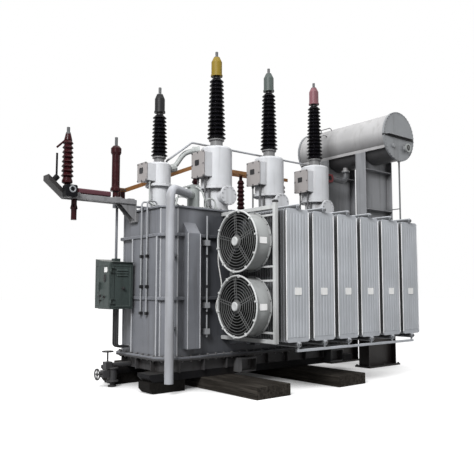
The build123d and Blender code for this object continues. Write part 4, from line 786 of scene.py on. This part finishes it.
lead_width = 0.018
lead_route = [(-1.2, -1.118, 2.355), (-1.2, -1.01, 2.355), (-1.205, -0.962, 2.205), (-1.208, -0.972, 2.01),
              (-1.205, -1.025, 1.835), (-1.202, -1.058, 1.67), (-1.2, -1.02, 1.53), (-1.206, -0.935, 1.43),
              (-1.21, -0.905, 1.31), (-1.206, -0.96, 1.195), (-1.2, -1.05, 1.157), (-1.2, -1.1557, 1.157)]
fan_lead = draw_line("fan_lead", [lead_route], lead_width / 2, 4, 10)
pale_sheath = ribbed_sheath("pale_sheath", (0.8, 0.8, 0.78), (0.45, 0.44, 0.42))
fan_lead.data.materials.append(pale_sheath)
paint_nodes(pale_sheath, "fan_cables")
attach(fan_lead, "frame")
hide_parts("fan_cables")


# Conservator: an oil drum on two floor-standing plate columns, closed by flanged ends.
# Light grey on the drum with painted shade underneath, mid grey on the columns, which are darker at the
# foot from dark paint and painted shade.
# The breather hangs from the drum on a thin pipe, and the gas relay's red body sits in the oil pipe.
def shaded_below(finish, tint):
    """Lays painted shade on the faces that look down."""
    return overlay(finish, spread(finish.node_tree, normal_parts(finish)["Z"], -0.65, 0.12, 0.85, 0), tint)


drum_x, drum_z = 3.174, 4.8
drum_grey = painted_steel("drum_grey", (0.4, 0.398, 0.402), (0.2, 0.19, 0.18), dust=0.1, gloss=0.38,
                          edge=0.012, wear_and_highlight=0.4)
paint_nodes(shaded_below(drum_grey, (0.05, 0.05, 0.052)), "conservator_shell")
end_look = dict(dirt_and_shade=(0.1, 0.096, 0.092), streaks=0.4, dust=0.1, edge=0.014, wear_and_highlight=0.9)
drum_end_grey = painted_steel("drum_end_grey", (0.24, 0.25, 0.262), **end_look)
paint_nodes(drum_end_grey, "conservator_rear_end")
front_end_grey = painted_steel("front_end_grey", (0.26, 0.271, 0.283), **end_look)
ledge_shadow = (0.012, 0.012, 0.013)
recolour(front_end_grey, "Z", drum_z - 0.045, drum_z - 0.002, ledge_shadow)
paint_nodes(front_end_grey, "conservator_front_end")

column_look = dict(dirt_and_shade=(0.045, 0.042, 0.04), streaks=0.5, dust=0.2, gloss=0.45, edge=0.012, wear_and_highlight=0.7)
oil_pipe_paint = (0.14, 0.144, 0.152)
paint_nodes(painted_steel("column_grey", oil_pipe_paint, **column_look), "breather_pipe")
relay_paint = painted_steel("relay_paint", oil_pipe_paint, **column_look)
paint_nodes(recolour(relay_paint, "X", 2.29, 2.56, (0.24, 0.06, 0.065)), "gas_relay_pipe")
column_feet = painted_steel("column_feet", (0.235, 0.24, 0.252), **column_look)
# The columns' feet below the radiators are darker: part dark paint, part painted shade.
paint_nodes(recolour(column_feet, "Z", -0.1, 0.72, (0.02, 0.017, 0.016)), "front_column", "rear_column")
pipe_look = dict(paint=(0.34, 0.35, 0.375), dirt_and_shade=(0.16, 0.15, 0.14), streaks=0.4, dust=0.1, gloss=0.4,
                 edge=0.008)
paint_nodes(painted_steel("pipe_grey", **pipe_look), "vent_pipe")
relief_paint = painted_steel("relief_paint", **pipe_look)
paint_nodes(recolour(relief_paint, "X", -1.6, -1.3, (0.29, 0.312, 0.305)), "relief_pipe")


# Conservator fittings: bolted end flanges, a dial oil gauge, a drying jar and the gas relay's windows.
# Painted castings and amber gel behind glass; anchor bolts hold the columns' foot plates.
def sink_top(piece, border, depth):
    """Sinks the middle of a piece's top straight down and leaves a rim round it."""
    pick(piece, "FACE", lambda face: face.normal.z > 0.9)
    bpy.ops.mesh.inset(thickness=border)
    bpy.ops.mesh.extrude_region_move(TRANSFORM_OT_translate={"value": (0, 0, -depth)})


end_bolts = ring_places((drum_x, -1.5, drum_z), (0, -1, 0), 0.507, 40)
end_bolts += ring_places((drum_x, 0.95, drum_z), (0, 1, 0), 0.507, 40)
hex_bolts("end_bolts", end_bolts, 0.011, drum_end_grey)
foot_inset = 0.03
anchor_bolts = []
for column in ("front_column", "rear_column"):
    low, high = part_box(column)
    for x in (low.x + foot_inset, (low.x + high.x) / 2, high.x - foot_inset):
        anchor_bolts += [facing((x, y, 0.03), (0, 0, 1)) for y in (low.y + foot_inset, high.y - foot_inset)]
hex_bolts("anchor_bolts", anchor_bolts, 0.02, bolt_grey)
oil_pipe_y, oil_pipe_z = -0.15, 4.02
relay_bolts = []
for x, out in ((2.32, -1), (2.52, 1)):
    relay_bolts += ring_places((x + 0.024 * out, oil_pipe_y, oil_pipe_z), (out, 0, 0), 0.073, 6)
hex_bolts("relay_bolts", relay_bolts, 0.009, bolt_grey)

rim = start_drum(0.092, 0.024, 36)
sink_top(rim, 0.026, 0.014)
mark_count, mark_radius = 9, 0.047
for step in range(mark_count):
    angle = math.radians(210 - 30 * step)
    mark_spot = (mark_radius * math.cos(angle), mark_radius * math.sin(angle), 0.0125)
    bpy.ops.mesh.primitive_cube_add(size=1, location=mark_spot, rotation=(0, 0, angle),
                                    scale=(0.012, 0.003, 0.003))
bpy.ops.mesh.primitive_cube_add(size=1, location=(0.01, 0.012, 0.014), rotation=(0, 0, 0.9),
                                scale=(0.062, 0.004, 0.003))
gauge_place = facing((drum_x + 0.2, -1.57, drum_z - 0.225), (0, -1, 0))
join_copies("gauge_rim", rim, [gauge_place], hose_grey)
dial = start_drum(0.057, 0.002, 32, 0.0102)
crown_top(dial, 0.03, 0)
join_copies("gauge_dial", dial, [gauge_place], plate_dark)

jar_spot = Vector((3.324, -1.38, 1.48))
jar = start_drum(0.066, 0.2, 24, 0.04)
bevel_edges(jar, level_edge, 0.02, 3)
gel_amber = glazed_porcelain("gel_amber", (0.3, 0.09, 0.02), (0.42, 0.16, 0.04))
join_copies("breather_jar", jar, [Matrix.Translation(jar_spot)], gel_amber)
band = start_drum(0.074, 0.03, 24)
crown_top(band, 0.02, 0.012)
rod_radius = 0.071
for step in range(4):
    angle = math.pi * (step + 0.5) / 2
    rod_spot = (rod_radius * math.cos(angle), rod_radius * math.sin(angle), 0.015)
    bpy.ops.mesh.primitive_cylinder_add(vertices=8, radius=0.006, depth=0.05, location=rod_spot)
band_places = [Matrix.Translation(jar_spot + Vector((0, 0, lift))) for lift in (0.01, 0.225)]
join_copies("breather_bands", band, band_places, bolt_grey)

window = start_drum(0.05, 0.016, 20)
sink_top(window, 0.012, 0.01)
window_places = [facing((2.42, oil_pipe_y + 0.085 * side, oil_pipe_z), (0, side, 0)) for side in (-1, 1)]
join_copies("relay_windows", window, window_places, plate_dark)


# Cabinets: sheet steel boxes with sloping roofs on the left end, one with a hinged door.
# Dark grey-green paint; the tap changer's drive shaft climbs from the roof to its head.
# Pressed panels, a bare plate, a sight window, knobs and louvres are fixed on; the door's swing with it.
def raised_panel(name, place, width, height, finish, body):
    """A pressed sheet panel with a raised border round a flat field."""
    sheet = start_slab(width, height, 0.006)
    pick(sheet, "FACE", lambda face: face.normal.z > 0.9)
    bpy.ops.mesh.inset(thickness=0.022)
    bpy.ops.mesh.inset(thickness=0.006)
    bpy.ops.transform.translate(value=(0, 0, -0.0045))
    return join_copies(name, sheet, [place], finish, body)


def knob_master(radius):
    """A knob on a collar: a stepped drum with a waisted neck and a rounded rim."""
    knob = start_drum(radius, 0.3 * radius, 16)
    sink_top(knob, 0.45 * radius, -0.7 * radius)
    bpy.ops.transform.resize(value=(1.5, 1.5, 1))
    bpy.ops.mesh.extrude_region_move(TRANSFORM_OT_translate={"value": (0, 0, 0.6 * radius)})
    bpy.ops.mesh.inset(thickness=0.2 * radius)
    bpy.ops.transform.translate(value=(0, 0, 0.12 * radius))
    return knob


cabinet_green = painted_steel("cabinet_green", (0.04, 0.053, 0.05), (0.016, 0.017, 0.016), streaks=0.4,
                              dust=0.5, edge=0.01, wear_and_highlight=0.5)
paint_nodes(cabinet_green, "drive_cabinet", "cabinet_door", "terminal_cabinet")
paint_nodes(tank_grey, "tap_changer_head", "drive_shaft")

front = (0, -1, 0)
door_x, wiring_x = -2.625, -2.53
side_x, side_y = -2.4, 0.1
raised_panel("door_panel", facing((door_x, 0.3, 1.66), left), 0.37, 0.73, cabinet_green, "door")
raised_panel("wiring_panel", facing((wiring_x, 0.69, 1.68), left), 0.22, 0.7, cabinet_green, "frame")
raised_panel("side_panel", facing((side_x, side_y, 1.66), front), 0.34, 0.7, cabinet_green, "frame")
blank_plates("door_plate", [facing((door_x, 0.24, 1.93), left)], 0.1, 0.085, plate_white, "door", 0.008)
sight = start_drum(0.034, 0.012, 24)
stretch_all((1, 1.9, 1))
sink_top(sight, 0.008, 0.006)
join_copies("door_sight", sight, [facing((door_x, 0.27, 1.79), left)], plate_dark, "door")
door_knobs = [facing((door_x, y, z), left) for y, z in ((0.42, 1.5), (0.42, 1.42), (0.28, 1.48))]
join_copies("door_knobs", knob_master(0.022), door_knobs, plate_dark, "door")
box_knobs = [facing((-2.38, side_y, 1.62), front)]
box_knobs += [facing((wiring_x, 0.63, z), left) for z in (1.55, 1.47)]
join_copies("box_knobs", knob_master(0.026), box_knobs, plate_dark)
louvre = start_slab(0.2, 0.03, 0.016)
pick(louvre, "EDGE", lambda one, two: one.z > 0.01 and two.z > 0.01 and one.y > 0 and two.y > 0)
bpy.ops.transform.translate(value=(0, 0.004, -0.014))
louvres = [facing((side_x, side_y, 1.84 + 0.042 * step), front) for step in range(3)]
join_copies("side_louvres", louvre, louvres, cabinet_green)


# Wall conduits: two down the left end panel, three under the drive cabinet and one beside the rib.
# Pale painted tube in black rubber-lined clips, and darker tube under the cabinet.
# The drain valve at the tank's foot is a flanged casting, almost black.
conduit_grey = painted_steel("conduit_grey", (0.3, 0.31, 0.325), (0.05, 0.047, 0.046), streaks=0.5,
                             dust=0.1, gloss=0.4, edge=0.004, wear_and_highlight=0.4)
clip_half = 0.026
for level in (1.215, 1.65, 2.15):
    recolour(conduit_grey, "Z", level - clip_half, level + clip_half, (0.012, 0.012, 0.013))
recolour(conduit_grey, "X", -2.5, -2.19, (0.02, 0.02, 0.021))
paint_nodes(conduit_grey, "wall_conduits")

valve_dark = painted_steel("valve_dark", (0.035, 0.035, 0.037), (0.02, 0.017, 0.015), streaks=0.5,
                           dust=0.15, gloss=0.5)
paint_nodes(valve_dark, "drain_valve")
valve_body = start_drum(0.075, 0.24, 20, -0.12)
bpy.ops.object.mode_set(mode="EDIT")
for lift in (-0.105, 0.105):
    bpy.ops.mesh.primitive_cylinder_add(vertices=20, radius=0.1, depth=0.026, location=(0, 0, lift))
bevel_edges(valve_body, level_edge, 0.005, 1)
join_copies("valve_body", valve_body, [Matrix.Translation((-2.445, 0.3, 0.2))], valve_dark)


# Bracket arm: a welded steel arm, dark at its tip, with a surge arrester and a ribbed post on top.
# The insulators, one of them hung below, are maroon glaze; a dusky sleeve lies along the arm.
# A spark gap with its black box and eye stands beside the post; bolts hold all of it down.
arm_grey = painted_steel("arm_grey", (0.195, 0.195, 0.202), (0.05, 0.047, 0.046), streaks=0.5, dust=0.5,
                         gloss=0.45, edge=0.012, wear_and_highlight=0.9)
paint_nodes(recolour(arm_grey, "X", -3.72, -3.43, (0.02, 0.018, 0.018)), "bracket_arm")
maroon = ((0.02, 0.0027, 0.0038), (0.034, 0.0052, 0.0068))
paint_nodes(glazed_porcelain("brown_glaze", *maroon), "low_voltage_bushings")
sleeve_dusk = (0.09, 0.036, 0.045)
for name, stud in (("surge_arrester", 0.15), ("arm_insulators", 0.111)):
    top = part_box(name)[1].z
    glaze = recolour(glazed_porcelain(f"{name}_glaze", *maroon), "Z", top - stud, top + margin, stud_metal)
    paint_nodes(recolour(glaze, "X", -3.165, -2.59, sleeve_dusk), name)
gap_black = painted_steel("gap_black", (0.005, 0.005, 0.006), (0.012, 0.011, 0.01), streaks=0.3,
                          dust=0.03, gloss=0.5, edge=0.004, wear_and_highlight=0.2, shine=0.06)
paint_nodes(gap_black, "spark_gap")
bpy.ops.object.select_all(action="DESELECT")
bpy.ops.mesh.primitive_torus_add(major_radius=0.045, minor_radius=0.012, major_segments=28,
                                 minor_segments=8)
eye = bpy.context.object
stretch_all((1, 1, 0.7))
join_copies("gap_eye", eye, [facing((-3.36, -0.03, 3.17), front)], drum_end_grey)
arm_top = 3.146
arm_bolts = []
for x in (-3.35, -3.225, -2.49):
    arm_bolts += [facing((x + 0.044 * side, y, arm_top), (0, 0, 1))
                  for side in (-1, 1) for y in (0.125, 0.315)]
arm_bolts += [facing((-2.156, y, z), left) for y in (0.16, 0.28) for z in (2.79, 2.86)]
hex_bolts("arm_bolts", arm_bolts, 0.012, bolt_grey)


# Low-voltage bars: flat copper bars in orange-brown bar paint that run from the bushings to the arm.
# Two bolts on each face clamp a bar at its bushing and at its left end.
bar_brown = painted_steel("bar_brown", (0.27, 0.125, 0.042), (0.09, 0.035, 0.022), streaks=0.5, dust=0.1,
                          gloss=0.4)
paint_nodes(bar_brown, "busbars")
bushing_level, post_level = 3.985, 3.335
bar_joints = [(1.62, 0.44, bushing_level), (0.56, 0.56, bushing_level), (-0.5, 0.68, bushing_level)]
bar_joints += [(-2.22, y, post_level) for y in (0.44, 0.56, 0.68)]
half_bar = 0.007
bar_bolts = []
for x, y, level in bar_joints:
    for side in (-1, 1):
        bar_bolts += [facing((x + 0.028 * step, y + half_bar * side, level), (0, side, 0))
                      for step in (-1, 1)]
hex_bolts("bar_bolts", bar_bolts, 0.012, bolt_grey)


# Studio: a pale floor, a white surround and soft lamps at a plain level.
# What the camera and shiny faces see is white; what lights the object from below is dimmer.
def seen_direct(tree):
    """One on rays that look at a surface straight or by reflection, nothing on scattered light."""
    path = tree.nodes.new("ShaderNodeLightPath").outputs
    seen = reckon(tree, "MAXIMUM", path["Is Camera Ray"], path["Is Glossy Ray"])
    return reckon(tree, "MAXIMUM", seen, path["Is Transmission Ray"])


def studio_floor(name, glow, shine, bounce):
    """A floor that glows white, fades its glow into a painted shadow near and under the object, and sends
    little light back up.
    """
    finish, tree, shader, place = blank_finish(name)
    fleck = clouding(tree, place, 3, 3)
    shade = tuple(channel * 0.985 for channel in shine)
    tree.links.new(blend_tints(tree, fleck, shine, shade), shader.inputs["Base Color"])
    shader.inputs["Roughness"].default_value = 1.0
    shader.inputs["Specular IOR Level"].default_value = 0.0
    shader.inputs["Emission Color"].default_value = (1, 1, 1, 1)
    glow_with_painted_shadow = spread(tree, openness(tree, 1.2, 8), 0.1, 0.8, 0.02, glow)
    tree.links.new(glow_with_painted_shadow, shader.inputs["Emission Strength"])
    dull = tree.nodes.new("ShaderNodeBsdfDiffuse")
    dull.inputs["Color"].default_value = (*bounce, 1)
    either = tree.nodes.new("ShaderNodeMixShader")
    tree.links.new(seen_direct(tree), either.inputs[0])
    tree.links.new(dull.outputs[0], either.inputs[1])
    tree.links.new(shader.outputs[0], either.inputs[2])
    tree.links.new(either.outputs[0], tree.nodes["Material Output"].inputs["Surface"])
    return finish


bpy.ops.object.select_all(action="DESELECT")
bpy.ops.mesh.primitive_plane_add(size=160)
floor = bpy.context.object
floor.name = "floor"
floor.data.materials.append(studio_floor("floor_white", 0.7, (0.6, 0.6, 0.6), (0.12, 0.12, 0.12)))

world = bpy.data.worlds.new("surround")
bpy.context.scene.world = world
world.use_nodes = True
sky_tree = world.node_tree
sky = sky_tree.nodes["Background"]
sky.inputs["Color"].default_value = (1, 1, 1, 1)
direction = sky_tree.nodes.new("ShaderNodeTexCoord").outputs["Generated"]
dimmer = sky_tree.nodes.new("ShaderNodeMix")
sky_tree.links.new(seen_direct(sky_tree), dimmer.inputs[0])
height = axis_parts(sky_tree, direction)["Z"]
sky_tree.links.new(spread(sky_tree, height, 0, 0.8, 0.24, 0.75), dimmer.inputs[2])
dimmer.inputs[3].default_value = 1.0
sky_tree.links.new(dimmer.outputs[0], sky.inputs["Strength"])

for name, place, target, size, power in (
    ("key", (-12, -7.5, 11), (0, 0, 2), 5, 2600),
    ("fill", (9, -11, 9), (1, -1, 2), 8, 260),
    ("top", (0, 0, 14), (0, 0, 2), 9, 450),
):
    lamp = bpy.data.lights.new(name, "AREA")
    lamp.size = size
    lamp.energy = power
    holder = bpy.data.objects.new(name, lamp)
    holder.location = place
    aim = Vector(target) - Vector(place)
    holder.rotation_euler = aim.to_track_quat("-Z", "Y").to_euler()
    bpy.context.scene.collection.objects.link(holder)


# Camera: stands off the front left corner at eye height and looks a little up, as in the photograph.
# The view transform is Standard, so that colours render about as they are written.
lens = bpy.data.cameras.new("camera")
lens.lens = 44.8
lens.sensor_width = 36
camera = bpy.data.objects.new("camera", lens)
camera.location = (-7.2, -8.7, 1.6)
heading = math.radians(39.6)
tilt = math.radians(5.1)
gaze = Vector((math.sin(heading) * math.cos(tilt), math.cos(heading) * math.cos(tilt), math.sin(tilt)))
camera.rotation_euler = gaze.to_track_quat("-Z", "Y").to_euler()
bpy.context.scene.collection.objects.link(camera)
bpy.context.scene.camera = camera
bpy.context.scene.view_settings.view_transform = "Standard"
